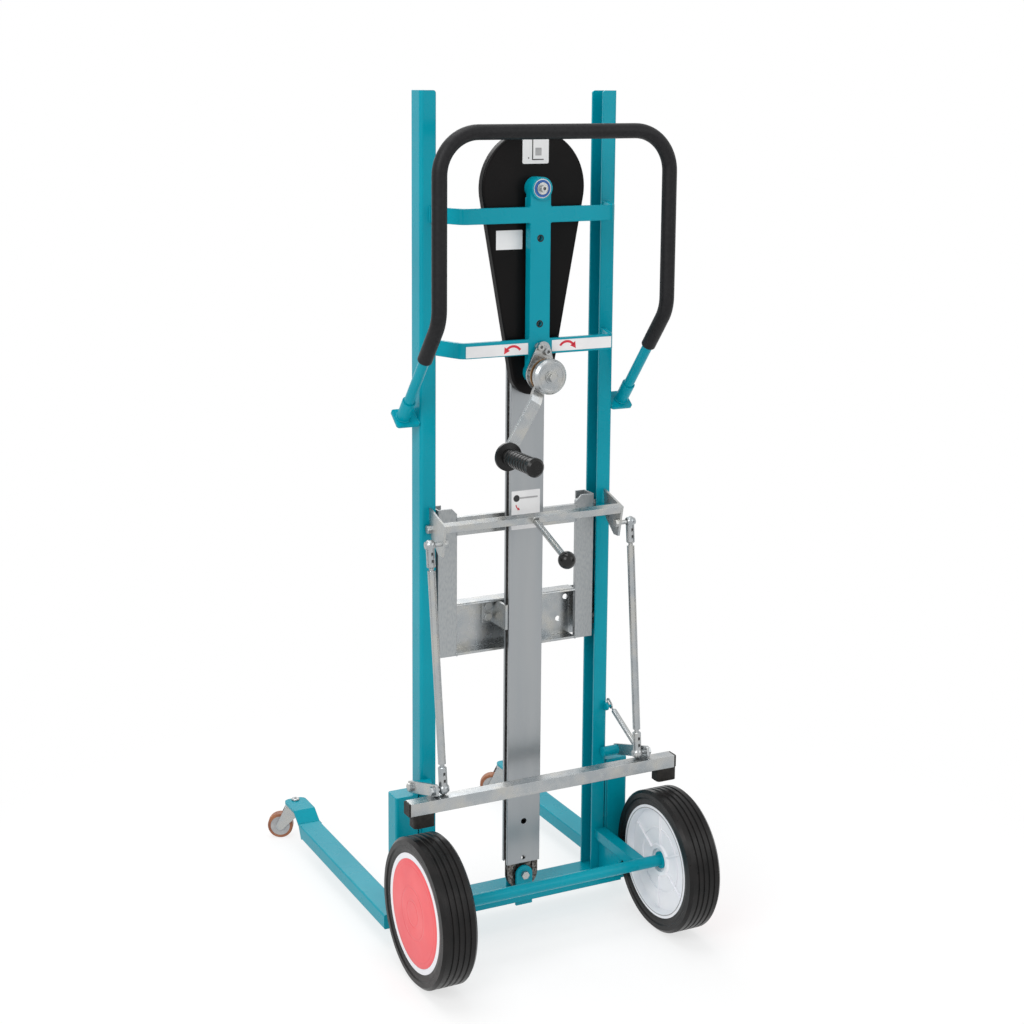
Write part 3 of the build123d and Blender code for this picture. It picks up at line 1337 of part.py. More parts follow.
# Tyres: stepped side walls and grooved tread
tread_half = tyre_width / 2
with BuildPart() as tyre_right:
    with BuildSketch(Plane(origin=(wheel_track, -axle_back, wheel_radius), x_dir=(1, 0, 0), z_dir=(0, -1, 0))):
        seat_radius = rim_radius - rim_lip
        side_height = wheel_radius - rim_radius
        groove_places = [(i - 3 / 2) * tyre_width / 6 for i in range(4)]
        tread = [(-tread_half, wheel_radius - tyre_shoulder), (-tread_half + tyre_shoulder, wheel_radius)]
        for place in groove_places:
            tread += [(place - tyre_groove_width, wheel_radius),
                      (place - tyre_groove_width / 2, wheel_radius - tyre_groove_depth),
                      (place + tyre_groove_width / 2, wheel_radius - tyre_groove_depth),
                      (place + tyre_groove_width, wheel_radius)]
        tread += [(tread_half - tyre_shoulder, wheel_radius), (tread_half, wheel_radius - tyre_shoulder)]
        wall_points = [(tread_half, rim_radius + side_height / 2),
                       (tread_half - tyre_side_step, rim_radius + side_height / 2 - tyre_side_step),
                       (tread_half - tyre_side_step, rim_radius + side_height / 4),
                       (rim_half_width, rim_radius + running_gap), (rim_half_width - rim_lip, rim_radius),
                       (rim_half_width - 2 * rim_lip, seat_radius)]
        mirrored = [(-x, z) for x, z in reversed(wall_points)]
        with BuildLine():
            Polyline(*(tread + wall_points + mirrored), close=True)
        make_face()
    revolve(axis=wheel_axis)
save(tyre_right, "tyre_right")

with BuildPart() as tyre_left:
    mirror(tyre_right.part, about=Plane.YZ)
save(tyre_left, "tyre_left")

# Wheel hub: moulded rim, dished web and boss
with BuildPart() as wheel_hub_right:
    with BuildSketch(Plane(origin=(wheel_track, -axle_back, wheel_radius), x_dir=(1, 0, 0), z_dir=(0, -1, 0))):
        bore = axle_radius + shaft_play
        rim_bottom = rim_radius - 2 * rim_lip
        web_inner = hub_dish - rim_half_width
        web_outer = web_inner + hub_web
        boss_face = web_inner - hub_boss_rise
        seat = hub_seat - wheel_track
        with BuildLine():
            Polyline((-rim_half_width, rim_radius), (-rim_half_width + rim_lip, rim_radius),
                     (-rim_half_width + 2 * rim_lip, rim_radius - rim_lip),
                     (rim_half_width - 2 * rim_lip, rim_radius - rim_lip), (rim_half_width - rim_lip, rim_radius),
                     (rim_half_width, rim_radius), (rim_half_width, cap_radius + running_gap),
                     (rim_half_width - cap_thickness, cap_radius + running_gap),
                     (rim_half_width - cap_thickness, rim_bottom - rim_lip),
                     (web_outer, rim_bottom - 2 * rim_lip), (web_outer, hub_boss_radius + rim_lip),
                     (web_outer + rim_lip, hub_boss_radius), (axle_end - wheel_track, hub_boss_radius),
                     (axle_end - wheel_track, bore), (seat, bore), (seat, hub_pocket_radius),
                     (boss_face, hub_pocket_radius), (boss_face, hub_boss_radius),
                     (web_inner, hub_boss_radius + hub_boss_rise), (web_inner, rim_bottom - rim_lip / 2),
                     (rim_lip / 2 - rim_half_width, rim_bottom), (-rim_half_width, rim_bottom + rim_lip / 2),
                     close=True)
        make_face()
    revolve(axis=wheel_axis)
save(wheel_hub_right, "wheel_hub_right")

with BuildPart() as wheel_hub_left:
    mirror(wheel_hub_right.part, about=Plane.YZ)
save(wheel_hub_left, "wheel_hub_left")

with BuildPart() as wheel_cap_right:
    cap_seat = wheel_track + rim_half_width - cap_thickness
    with BuildSketch(Plane(origin=(cap_seat, -axle_back, wheel_radius), x_dir=(1, 0, 0), z_dir=(0, -1, 0))):
        with BuildLine():
            Line((0, 0), (0, cap_radius))
            Line((0, cap_radius), (cap_thickness, cap_radius))
            Line((cap_thickness, cap_radius), (cap_thickness + cap_dome / 2, cap_radius - cap_thickness))
            Line((cap_thickness + cap_dome / 2, cap_radius - cap_thickness),
                 (cap_thickness + cap_dome, cap_radius / 2))
            Line((cap_thickness + cap_dome, cap_radius / 2), (cap_thickness + cap_dome, 0))
            Line((cap_thickness + cap_dome, 0), (0, 0))
        make_face()
    revolve(axis=wheel_axis)
save(wheel_cap_right, "wheel_cap_right")

with BuildPart() as wheel_cap_left:
    mirror(wheel_cap_right.part, about=Plane.YZ)
save(wheel_cap_left, "wheel_cap_left")

# Swivel casters: pressed fork under a ball race, wheel on its axle
trail_x = -caster_trail * sin(radians(caster_turn))
trail_y = caster_trail * cos(radians(caster_turn))
fork_top = caster_plate_top - caster_plate_thickness
for name, side in (("left", -1), ("right", 1)):
    swivel = Vector(side * leg_middle, caster_back, 0)
    hub_at = swivel + Vector(trail_x, trail_y, caster_wheel_radius)
    roll = Vector(trail_x, trail_y, 0).normalized()
    cross = Vector(-roll.Y, roll.X, 0)
    fork_half = caster_wheel_width / 2 + 2 * running_gap + caster_fork_wall
    with BuildPart() as caster_fork:
        with BuildSketch(Plane.XY.offset(fork_top - caster_race_height)):
            with Locations((swivel.X, swivel.Y)):
                Circle(caster_race_radius)
        extrude(amount=caster_race_height)
        with BuildSketch(Plane.XY.offset(fork_top)):
            with Locations((swivel.X, swivel.Y)):
                Circle(caster_bolt_radius - shaft_play)
        extrude(amount=caster_plate_thickness)
        with BuildSketch(Plane.XY.offset(caster_plate_top)):
            with Locations((swivel.X, swivel.Y)):
                Circle(caster_head_radius)
        extrude(amount=caster_head_height)
        fillet(caster_fork.edges().group_by(Axis.Z)[-1], caster_head_height / 2)
        crown = fork_top - caster_race_height
        for cheek_at in (fork_half, caster_fork_wall - fork_half):
            with BuildSketch(Plane(origin=swivel + cross * cheek_at, x_dir=roll, z_dir=-cross)):
                with Locations((caster_race_radius / 8, crown - caster_race_height / 2)):
                    Rectangle(caster_race_radius * 7 / 4, caster_race_height)
                with Locations((caster_trail, caster_wheel_radius)):
                    Circle(caster_cheek_radius)
                make_hull()
            extrude(amount=caster_fork_wall)
        crown_plane = Plane(origin=swivel + Vector(0, 0, crown - caster_fork_wall), x_dir=roll, z_dir=(0, 0, 1))
        with BuildSketch(crown_plane):
            with Locations((caster_race_radius / 8, 0)):
                Rectangle(caster_race_radius * 7 / 4, 2 * fork_half)
        extrude(amount=caster_fork_wall)
        with BuildSketch(Plane(origin=hub_at - cross * fork_half, z_dir=cross)):
            Circle(caster_axle_radius)
        extrude(amount=2 * fork_half)
    save(caster_fork, f"caster_fork_{name}")
    with BuildPart() as caster_wheel:
        with BuildSketch(Plane(origin=hub_at - cross * (caster_wheel_width / 2), z_dir=cross)):
            Circle(caster_wheel_radius)
            Circle(caster_axle_radius + shaft_play, mode=Mode.SUBTRACT)
        extrude(amount=caster_wheel_width)
        rims = caster_wheel.edges().filter_by(GeomType.CIRCLE).sort_by(SortBy.RADIUS)[-2:]
        fillet(rims, caster_tread / 2)
    save(caster_wheel, f"caster_wheel_{name}")
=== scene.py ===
# %% [markdown]
# # A hand-cranked lifting trolley
# The metal frame comes in finished from the CAD model. This lesson dresses it: paint, zinc, rubber and
# nylon for every node, and the fine pieces that a workshop adds last, such as weld beads, chain links,
# screws, seals and stickers. Everything is in metres, in the frame's own axes.

# %% Load the frame
import math

import bpy
from mathutils import Matrix, Vector


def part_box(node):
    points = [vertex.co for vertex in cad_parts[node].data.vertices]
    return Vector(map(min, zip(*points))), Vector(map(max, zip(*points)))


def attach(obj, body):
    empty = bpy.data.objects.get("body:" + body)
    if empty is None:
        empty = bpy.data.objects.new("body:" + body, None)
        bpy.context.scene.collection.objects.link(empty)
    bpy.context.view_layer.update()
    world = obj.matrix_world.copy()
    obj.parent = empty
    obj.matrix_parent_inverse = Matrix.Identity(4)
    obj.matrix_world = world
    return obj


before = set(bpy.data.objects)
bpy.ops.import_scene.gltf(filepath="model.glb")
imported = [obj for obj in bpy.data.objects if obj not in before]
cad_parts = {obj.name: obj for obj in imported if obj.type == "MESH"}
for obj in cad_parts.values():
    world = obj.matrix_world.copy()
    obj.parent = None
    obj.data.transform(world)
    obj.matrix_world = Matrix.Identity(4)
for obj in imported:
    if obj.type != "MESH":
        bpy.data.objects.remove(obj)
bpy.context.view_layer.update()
bpy.ops.object.select_all(action="DESELECT")
bpy.context.scene.view_settings.view_transform = "Standard"
print("CAD nodes:", len(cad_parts))

# %% [markdown]
# ## Camera
# The trolley was photographed from behind and a little to the left, from above head height. The picture
# frame lies off the lens axis, so the camera gets a small shift and no tilt of its own.

# %% Camera
TURN = math.radians(-25.721)
DROP = math.radians(9.406)
ROLL = math.radians(0.184)
CAMERA_PLACE = (-1.37873, -2.65743, 1.48310)
SENSOR = 36.0
LENS = 61.73
SHIFT_X = 0.0484
SHIFT_Y = -0.1322

view_dir = Vector((-math.sin(TURN) * math.cos(DROP), math.cos(TURN) * math.cos(DROP), -math.sin(DROP)))
flat_right = Vector((math.cos(TURN), math.sin(TURN), 0))
flat_up = flat_right.cross(view_dir)
right = flat_right * math.cos(ROLL) + flat_up * math.sin(ROLL)
up = flat_up * math.cos(ROLL) - flat_right * math.sin(ROLL)

camera_data = bpy.data.cameras.new("camera")
camera_data.sensor_width = SENSOR
camera_data.lens = LENS
camera_data.shift_x = SHIFT_X
camera_data.shift_y = SHIFT_Y
camera = bpy.data.objects.new("camera", camera_data)
bpy.context.scene.collection.objects.link(camera)
camera.matrix_world = Matrix.Translation(CAMERA_PLACE) @ Matrix(
    (right, up, -view_dir)).transposed().to_4x4()
bpy.context.scene.camera = camera
print("camera height", round(camera.location.z, 3))

# %% [markdown]
# ## Light and floor
# A white studio: a white floor that keeps the soft shadow, a white world that metal can mirror, and four
# large soft lamps. The lamps stay low enough for a colour to render about as it is written.

# %% World and lamps
SOFT_STRENGTH = 0.55
WHITE_STRENGTH = 1.0
# Each lamp has its place, the point it looks at, its size and its power
LAMPS = {"key_lamp": ((-3.2, -2.2, 3.2), (0, 0, 0.7), 2.2, 85),
         "fill_lamp": ((2.6, -3.0, 2.2), (0, 0, 0.7), 2.6, 30),
         "back_lamp": ((0.5, 3.4, 3.0), (0, 0, 0.8), 2.6, 40),
         "top_lamp": ((-0.6, 0.2, 4.2), (0, 0, 0.4), 2.4, 60)}


def link_nodes(tree, start, start_socket, end, end_socket):
    """Wire an output of one node to an input of another."""
    tree.links.new(start.outputs[start_socket], end.inputs[end_socket])


world = bpy.data.worlds.new("studio")
bpy.context.scene.world = world
world.use_nodes = True
world_tree = world.node_tree
world_tree.nodes.clear()
world_out = world_tree.nodes.new("ShaderNodeOutputWorld")
soft_light = world_tree.nodes.new("ShaderNodeBackground")
soft_light.inputs["Color"].default_value = (1, 1, 1, 1)
soft_light.inputs["Strength"].default_value = SOFT_STRENGTH
white_back = world_tree.nodes.new("ShaderNodeBackground")
white_back.inputs["Color"].default_value = (1, 1, 1, 1)
white_back.inputs["Strength"].default_value = WHITE_STRENGTH
ray_kind = world_tree.nodes.new("ShaderNodeLightPath")
ray_mix = world_tree.nodes.new("ShaderNodeMixShader")
last_node, last_socket = ray_kind, "Is Camera Ray"
for ray_name in ("Is Glossy Ray", "Is Transmission Ray"):
    ray_add = world_tree.nodes.new("ShaderNodeMath")
    ray_add.operation = "MAXIMUM"
    link_nodes(world_tree, last_node, last_socket, ray_add, 0)
    link_nodes(world_tree, ray_kind, ray_name, ray_add, 1)
    last_node, last_socket = ray_add, 0
link_nodes(world_tree, last_node, last_socket, ray_mix, 0)
link_nodes(world_tree, soft_light, 0, ray_mix, 1)
link_nodes(world_tree, white_back, 0, ray_mix, 2)
link_nodes(world_tree, ray_mix, 0, world_out, 0)


def area_lamp(name, place, target, size, power):
    """A soft square lamp that looks at a target point."""
    data = bpy.data.lights.new(name, "AREA")
    data.shape = "SQUARE"
    data.size = size
    data.energy = power
    lamp = bpy.data.objects.new(name, data)
    bpy.context.scene.collection.objects.link(lamp)
    aim = Vector(target) - Vector(place)
    lamp.matrix_world = Matrix.Translation(place) @ aim.to_track_quat("-Z", "Y").to_matrix().to_4x4()


for lamp_name, (place, target, size, power) in LAMPS.items():
    area_lamp(lamp_name, place, target, size, power)
print("lamps:", len(bpy.data.lights))

# %% [markdown]
# A white room leaves metal flat. Two dark cards outside the picture give zinc and paint something darker to
# mirror; they show in reflections only.

# %% Dark cards
CARD_PLACES = {"card_right": ((3.4, -2.6, 0.6), (0, math.radians(90), math.radians(-35)), 3.0),
               "card_left": ((-3.6, 0.8, 0.5), (0, math.radians(90), 0), 2.4)}
card_material = bpy.data.materials.new("card_grey")
card_material.use_nodes = True
card_shader = card_material.node_tree.nodes["Principled BSDF"]
card_shader.inputs["Base Color"].default_value = (0.10, 0.10, 0.105, 1)
card_shader.inputs["Roughness"].default_value = 0.9
for card_name, (place, turn, size) in CARD_PLACES.items():
    bpy.ops.mesh.primitive_plane_add(size=size, location=place, rotation=turn)
    card = bpy.context.object
    card.name = card_name
    card.data.materials.append(card_material)
    card.visible_camera = False
    card.visible_diffuse = False
    card.visible_shadow = False
print("cards:", len(CARD_PLACES))

# %% [markdown]
# The floor is white to the camera where no shadow falls. It is mixed from white emission and a matte
# white: near the trolley the matte share receives the shadow, and farther out the emission takes over.

# %% Floor
FLOOR_SIZE = 40
FLOOR_DROP = 0.0006
FADE_START = 0.35
FADE_END = 1.15
NEAR_GLOW_SHARE = 0.68
bpy.ops.mesh.primitive_plane_add(size=FLOOR_SIZE, location=(0, 0, -FLOOR_DROP))
floor = bpy.context.object
floor.name = "studio_floor"
floor_material = bpy.data.materials.new("studio_floor")
floor_material.use_nodes = True
floor_tree = floor_material.node_tree
floor_tree.nodes.clear()
floor_out = floor_tree.nodes.new("ShaderNodeOutputMaterial")
floor_matte = floor_tree.nodes.new("ShaderNodeBsdfDiffuse")
floor_matte.inputs["Color"].default_value = (0.95, 0.95, 0.95, 1)
floor_white = floor_tree.nodes.new("ShaderNodeEmission")
floor_white.inputs["Color"].default_value = (1, 1, 1, 1)
floor_white.inputs["Strength"].default_value = WHITE_STRENGTH
floor_place = floor_tree.nodes.new("ShaderNodeTexCoord")
floor_reach = floor_tree.nodes.new("ShaderNodeVectorMath")
floor_reach.operation = "LENGTH"
floor_fade = floor_tree.nodes.new("ShaderNodeMapRange")
floor_fade.inputs["From Min"].default_value = FADE_START
floor_fade.inputs["From Max"].default_value = FADE_END
floor_fade.inputs["To Min"].default_value = NEAR_GLOW_SHARE
floor_fade.inputs["To Max"].default_value = 1.0
floor_mix = floor_tree.nodes.new("ShaderNodeMixShader")
link_nodes(floor_tree, floor_place, "Object", floor_reach, 0)
link_nodes(floor_tree, floor_reach, "Value", floor_fade, "Value")
link_nodes(floor_tree, floor_fade, "Result", floor_mix, 0)
link_nodes(floor_tree, floor_matte, 0, floor_mix, 1)
link_nodes(floor_tree, floor_white, 0, floor_mix, 2)
link_nodes(floor_tree, floor_mix, 0, floor_out, 0)
floor.data.materials.append(floor_material)
print("floor:", floor.name)

# %% [markdown]
# ## Finishes
# Every finish is built the same way: a principled shader, a pattern in object coordinates for colour, a
# second one for roughness and a fine bump. One helper lays the common part down, and each finish then
# says its own colours, scales and depths.

# %% The common part of a finish
TINT_FROM, TINT_TO = 0.36, 0.64
ROUGH_FROM, ROUGH_TO = 0.3, 0.7
ROUGH_SCALE_SHARE = 2.3
COAT_ROUGH = 0.12
GLOW_REACH = 0.006


def noise(tree, coords, scale, detail=4.0, stretch=(1, 1, 1)):
    """Noise in object space, stretched along an axis where a process leaves streaks."""
    mapping = tree.nodes.new("ShaderNodeMapping")
    mapping.inputs["Scale"].default_value = stretch
    texture = tree.nodes.new("ShaderNodeTexNoise")
    texture.inputs["Scale"].default_value = scale
    texture.inputs["Detail"].default_value = detail
    link_nodes(tree, coords, "Object", mapping, "Vector")
    link_nodes(tree, mapping, 0, texture, "Vector")
    return texture


def ramp(tree, source, socket, stops):
    """Colour ramp with the given (position, colour) stops."""
    band = tree.nodes.new("ShaderNodeValToRGB")
    while len(band.color_ramp.elements) < len(stops):
        band.color_ramp.elements.new(0.5)
    for element, (place, colour) in zip(band.color_ramp.elements, stops):
        element.position = place
        element.color = (*colour, 1)
    link_nodes(tree, source, socket, band, "Fac")
    return band


def finish(name, colours, scale, rough, metallic=0.0, stretch=(1, 1, 1), bump_scale=900, bump_depth=0.00005,
           bump_stretch=(1, 1, 1), coat=0.0, round_edges=0.0, subsurface=0.0, specular=0.5):
    """A principled finish with patterned colour, patterned roughness and fine bump."""
    material = bpy.data.materials.new(name)
    material.use_nodes = True
    tree = material.node_tree
    shader = tree.nodes["Principled BSDF"]
    coords = tree.nodes.new("ShaderNodeTexCoord")
    tint = noise(tree, coords, scale, 5.0, stretch)
    tint_step = (TINT_TO - TINT_FROM) / (len(colours) - 1)
    steps = [(TINT_FROM + tint_step * place, colour) for place, colour in enumerate(colours)]
    band = ramp(tree, tint, "Fac", steps)
    link_nodes(tree, band, "Color", shader, "Base Color")
    rough_pattern = noise(tree, coords, scale * ROUGH_SCALE_SHARE, 3.0, stretch)
    rough_range = tree.nodes.new("ShaderNodeMapRange")
    rough_range.inputs["From Min"].default_value = ROUGH_FROM
    rough_range.inputs["From Max"].default_value = ROUGH_TO
    rough_range.inputs["To Min"].default_value = rough[0]
    rough_range.inputs["To Max"].default_value = rough[1]
    link_nodes(tree, rough_pattern, "Fac", rough_range, "Value")
    link_nodes(tree, rough_range, "Result", shader, "Roughness")
    grain = noise(tree, coords, bump_scale, 2.0, bump_stretch)
    bump = tree.nodes.new("ShaderNodeBump")
    bump.inputs["Distance"].default_value = bump_depth
    link_nodes(tree, grain, "Fac", bump, "Height")
    if round_edges:
        soft_edge = tree.nodes.new("ShaderNodeBevel")
        soft_edge.samples = 8
        soft_edge.inputs["Radius"].default_value = round_edges
        link_nodes(tree, soft_edge, "Normal", bump, "Normal")
    link_nodes(tree, bump, "Normal", shader, "Normal")
    shader.inputs["Metallic"].default_value = metallic
    shader.inputs["Coat Weight"].default_value = coat
    shader.inputs["Coat Roughness"].default_value = COAT_ROUGH
    shader.inputs["Specular IOR Level"].default_value = specular
    if subsurface:
        shader.inputs["Subsurface Weight"].default_value = subsurface
        shader.inputs["Subsurface Radius"].default_value = (GLOW_REACH, GLOW_REACH, GLOW_REACH)
    return material


print("finish helper ready")

# %% [markdown]
# Powder coat is sprayed dry and baked, so it is even in colour with a faint orange peel. Zinc plate
# shows soft clouds that turn a little blue and a little yellow. The column sheet is cold rolled, with
# fine lines along its length.

# %% Metal finishes
TEAL_DEEP = (0.0, 0.258, 0.338)
TEAL_LIGHT = (0.0, 0.290, 0.372)
teal_paint = finish("teal_paint", [TEAL_DEEP, TEAL_LIGHT], 7, (0.24, 0.32), coat=0.12, round_edges=0.0020,
                    bump_scale=420, bump_depth=0.00003, specular=0.10)
zinc_plate = finish("zinc_plate", [(0.35, 0.375, 0.39), (0.40, 0.415, 0.42), (0.44, 0.44, 0.42)], 34,
                    (0.22, 0.34), metallic=0.9, round_edges=0.0008, bump_scale=260, bump_depth=0.000002)
rolled_zinc = finish("rolled_zinc", [(0.325, 0.345, 0.36), (0.355, 0.370, 0.380)], 5, (0.30, 0.38),
                     metallic=0.9, stretch=(6, 6, 0.5), bump_scale=500, bump_stretch=(1, 1, 0.03),
                     bump_depth=0.00002, round_edges=0.0006)
spangled_zinc = finish("spangled_zinc", [(0.32, 0.34, 0.35), (0.36, 0.38, 0.39), (0.40, 0.41, 0.41)], 420,
                       (0.34, 0.50), metallic=0.85, stretch=(1, 1, 0.35), round_edges=0.001, bump_scale=600,
                       bump_depth=0.00003)
bearing_steel = finish("bearing_steel", [(0.30, 0.31, 0.33), (0.38, 0.39, 0.40)], 60, (0.16, 0.26),
                       metallic=1.0, bump_scale=1200, bump_depth=0.00001)
oiled_chain = finish("oiled_chain", [(0.025, 0.022, 0.020), (0.10, 0.09, 0.08), (0.20, 0.19, 0.18)], 260,
                     (0.22, 0.50), metallic=0.75, bump_scale=900, bump_depth=0.00004)
friction_bronze = finish("friction_bronze", [(0.30, 0.16, 0.07), (0.42, 0.25, 0.12)], 90, (0.32, 0.5),
                         metallic=0.7, bump_scale=900, bump_depth=0.00004)
print("metal finishes ready")

# %% [markdown]
# The chain case is pressed sheet under a deep black. Foam, rubber and nylon scatter light, so they stay
# rougher, and each has its own grain.

# %% Black, rubber and nylon finishes
black_enamel = finish("black_enamel", [(0.005, 0.005, 0.005), (0.008, 0.007, 0.007)], 6, (0.24, 0.34),
                      bump_scale=120, bump_depth=0.00008, round_edges=0.0012, specular=0.07)
foam_black = finish("foam_black", [(0.007, 0.007, 0.008), (0.011, 0.011, 0.012)], 160, (0.42, 0.54),
                    bump_scale=1600, bump_depth=0.00003, specular=0.2)
grip_black = finish("grip_black", [(0.006, 0.006, 0.006), (0.010, 0.010, 0.010)], 140, (0.20, 0.32),
                    bump_scale=1500, bump_depth=0.00003, specular=0.25)
ball_black = finish("ball_black", [(0.008, 0.008, 0.008), (0.014, 0.014, 0.014)], 30, (0.14, 0.24), coat=0.1,
                    bump_scale=600, bump_depth=0.00001, specular=0.25)
pad_rubber = finish("pad_rubber", [(0.010, 0.009, 0.008), (0.020, 0.018, 0.016)], 120, (0.5, 0.7),
                    bump_scale=900, bump_depth=0.00006, specular=0.25)
tyre_rubber = finish("tyre_rubber", [(0.006, 0.006, 0.006), (0.010, 0.009, 0.009)], 45, (0.26, 0.38),
                     bump_scale=700, bump_depth=0.00003, specular=0.22)
white_nylon = finish("white_nylon", [(0.78, 0.79, 0.83), (0.87, 0.87, 0.89)], 10, (0.30, 0.42), subsurface=0.25,
                     bump_scale=500, bump_depth=0.00003)
coral_nylon = finish("coral_nylon", [(0.80, 0.090, 0.105), (0.86, 0.115, 0.125)], 12, (0.36, 0.48),
                     subsurface=0.1, bump_scale=520, bump_depth=0.00003)
print("dark, rubber and nylon finishes ready")

# %% [markdown]
# The red caps have shallow rings moulded into them. Cutting them would need many faces for a step that is
# hardly deep enough to feel, so a bump draws them: its height follows the distance from the wheel's axis.

# %% Rings moulded into the red caps
WHEEL_BACK = 0.160
WHEEL_UP = 0.125
REACH_SCALE = 10
# The step from LOW to HIGH is a tenth of this height
BUMP_HEIGHT = 0.006
coral_tree = coral_nylon.node_tree
coral_coords = coral_tree.nodes.new("ShaderNodeTexCoord")
ring_reach = coral_tree.nodes.new("ShaderNodeVectorMath")
ring_reach.operation = "MULTIPLY_ADD"
ring_reach.inputs[1].default_value = (0, REACH_SCALE, REACH_SCALE)
ring_reach.inputs[2].default_value = (0, WHEEL_BACK * REACH_SCALE, -WHEEL_UP * REACH_SCALE)
ring_length = coral_tree.nodes.new("ShaderNodeVectorMath")
ring_length.operation = "LENGTH"
link_nodes(coral_tree, coral_coords, "Object", ring_reach, 0)
link_nodes(coral_tree, ring_reach, 0, ring_length, 0)
LOW, HIGH = (0.45, 0.45, 0.45), (0.55, 0.55, 0.55)
ring_steps = ramp(coral_tree, ring_length, "Value", [(0.0, HIGH), (0.190, HIGH), (0.205, LOW), (0.225, LOW),
                                                     (0.240, HIGH), (0.415, HIGH), (0.430, LOW), (0.445, LOW),
                                                     (0.460, HIGH), (0.80, HIGH), (0.82, LOW)])
ring_bump = coral_tree.nodes.new("ShaderNodeBump")
ring_bump.inputs["Distance"].default_value = BUMP_HEIGHT
link_nodes(coral_tree, ring_steps, "Color", ring_bump, "Height")
coral_shader = coral_tree.nodes["Principled BSDF"]
link_nodes(coral_tree, coral_shader.inputs["Normal"].links[0].from_node, "Normal", ring_bump, "Normal")
link_nodes(coral_tree, ring_bump, "Normal", coral_shader, "Normal")
print("ring steps:", len(ring_steps.color_ramp.elements))

# %% [markdown]
# Small things need a finish of their own too: the cast tread of the casters, the blue seal of a bearing, and
# the sheet and the flat inks of the signs.

# %% Treads, seal, stickers and prints
brown_tread = finish("brown_tread", [(0.22, 0.07, 0.03), (0.32, 0.12, 0.05)], 70, (0.4, 0.55), bump_scale=700,
                     bump_depth=0.00004)
seal_blue = finish("seal_blue", [(0.004, 0.075, 0.300), (0.008, 0.100, 0.360)], 200, (0.4, 0.5), bump_scale=900,
                   bump_depth=0.00002)
sticker_white = finish("sticker_white", [(0.70, 0.70, 0.71), (0.76, 0.76, 0.76)], 20, (0.35, 0.45),
                       bump_scale=300, bump_depth=0.00001)
print_red = finish("print_red", [(0.52, 0.01, 0.03), (0.60, 0.015, 0.035)], 60, (0.4, 0.5), bump_scale=900,
                   bump_depth=0.00001)
print_black = finish("print_black", [(0.012, 0.012, 0.013), (0.022, 0.022, 0.022)], 60, (0.4, 0.5),
                     bump_scale=900, bump_depth=0.00001)
print_grey = finish("print_grey", [(0.30, 0.30, 0.31), (0.38, 0.38, 0.38)], 60, (0.4, 0.5), bump_scale=900,
                    bump_depth=0.00001)
print("finishes:", len(bpy.data.materials))

# %% [markdown]
# ## Dressing the CAD nodes
# Each CAD node is one piece of metal or plastic, so one material covers it.

# %% Materials for the CAD nodes
NODE_FINISHES = {
    teal_paint: ["mast_left", "mast_right", "base_plate", "leg_left", "leg_right", "posts", "axle_frame",
                 "upper_cross_frame", "idler_bracket", "handle_tube", "handle_sockets", "pivot_bosses"],
    zinc_plate: ["frame_bolts", "ratchet_plate", "crank_shaft", "ratchet_wheel", "crank_disc", "crank_arm",
                 "grip_pin", "lift_shaft", "push_rod_left", "push_rod_right", "brake_bar", "brake_lever",
                 "return_spring", "caster_fork_left", "caster_fork_right", "chain_clamp", "carriage_top_bar",
                 "tool_channel", "column_spacers"],
    rolled_zinc: ["column_rear_channel", "column_front_channel"],
    spangled_zinc: ["carriage_sides"],
    bearing_steel: ["shaft_bearings", "roller_lower_left", "roller_lower_right", "roller_upper_left",
                    "roller_upper_right"],
    oiled_chain: ["lift_chain", "drive_chain", "large_sprocket", "lift_sprocket", "idler_sprocket"],
    friction_bronze: ["friction_disc"],
    black_enamel: ["chain_case", "chain_case_cover"],
    foam_black: ["handle_sleeve"],
    grip_black: ["crank_grip"],
    ball_black: ["lever_knob"],
    pad_rubber: ["brake_rubbers"],
    tyre_rubber: ["tyre_left", "tyre_right"],
    white_nylon: ["wheel_hub_left", "wheel_hub_right"],
    coral_nylon: ["wheel_cap_left", "wheel_cap_right"],
    brown_tread: ["caster_wheel_left", "caster_wheel_right"],
}
dressed = 0
for material, names in NODE_FINISHES.items():
    for name in names:
        mesh_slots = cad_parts[name].material_slots
        if not mesh_slots:
            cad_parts[name].data.materials.append(material)
        for mesh_slot in mesh_slots:
            mesh_slot.material = material
        dressed += 1
print("dressed nodes:", dressed)

# %% [markdown]
# ## Helpers for the fine pieces
# Each fine piece starts from a small primitive at its place and is shaped in edit mode: raised, inset,
# spun or repeated. At the end its place is applied into the mesh, and it rides on the body it is fixed to.
# A new face keeps the selection after an extrude, so the next step works on the new face alone.

# %% Modelling helpers
AXIS_TURN = {"X": (0, math.pi / 2, 0), "-X": (0, -math.pi / 2, 0), "-Y": (math.pi / 2, 0, 0), "Z": (0, 0, 0)}
AXIS_STEP = {"X": Vector((1, 0, 0)), "-X": Vector((-1, 0, 0)), "-Y": Vector((0, -1, 0)), "Z": Vector((0, 0, 1))}
RIM_SHARE = 0.9
SIDE_SHARE = 0.85
SUNK_SHARE = 0.6
RING_SIDES = 64
DROP_STEP_SHARE = 0.75
DROP_FLAT_SHARE = 0.85
RING_STEP_SHARE = 0.8
RING_DROP_SHARE = 0.95
SHARP_ANGLE = 30
ROUND_ANGLE = 40
BEAD_ANGLE = 60
SIDES = (("left", -1), ("right", 1))
made = []


def open_mesh(obj):
    """Edit mode on one object, with everything in it selected."""
    bpy.ops.object.select_all(action="DESELECT")
    obj.select_set(True)
    bpy.context.view_layer.objects.active = obj
    bpy.ops.object.mode_set(mode="EDIT")
    bpy.ops.mesh.select_all(action="SELECT")


def raise_by(step):
    """Extrude what is selected along a step."""
    bpy.ops.mesh.extrude_region_move(TRANSFORM_OT_translate={"value": step})


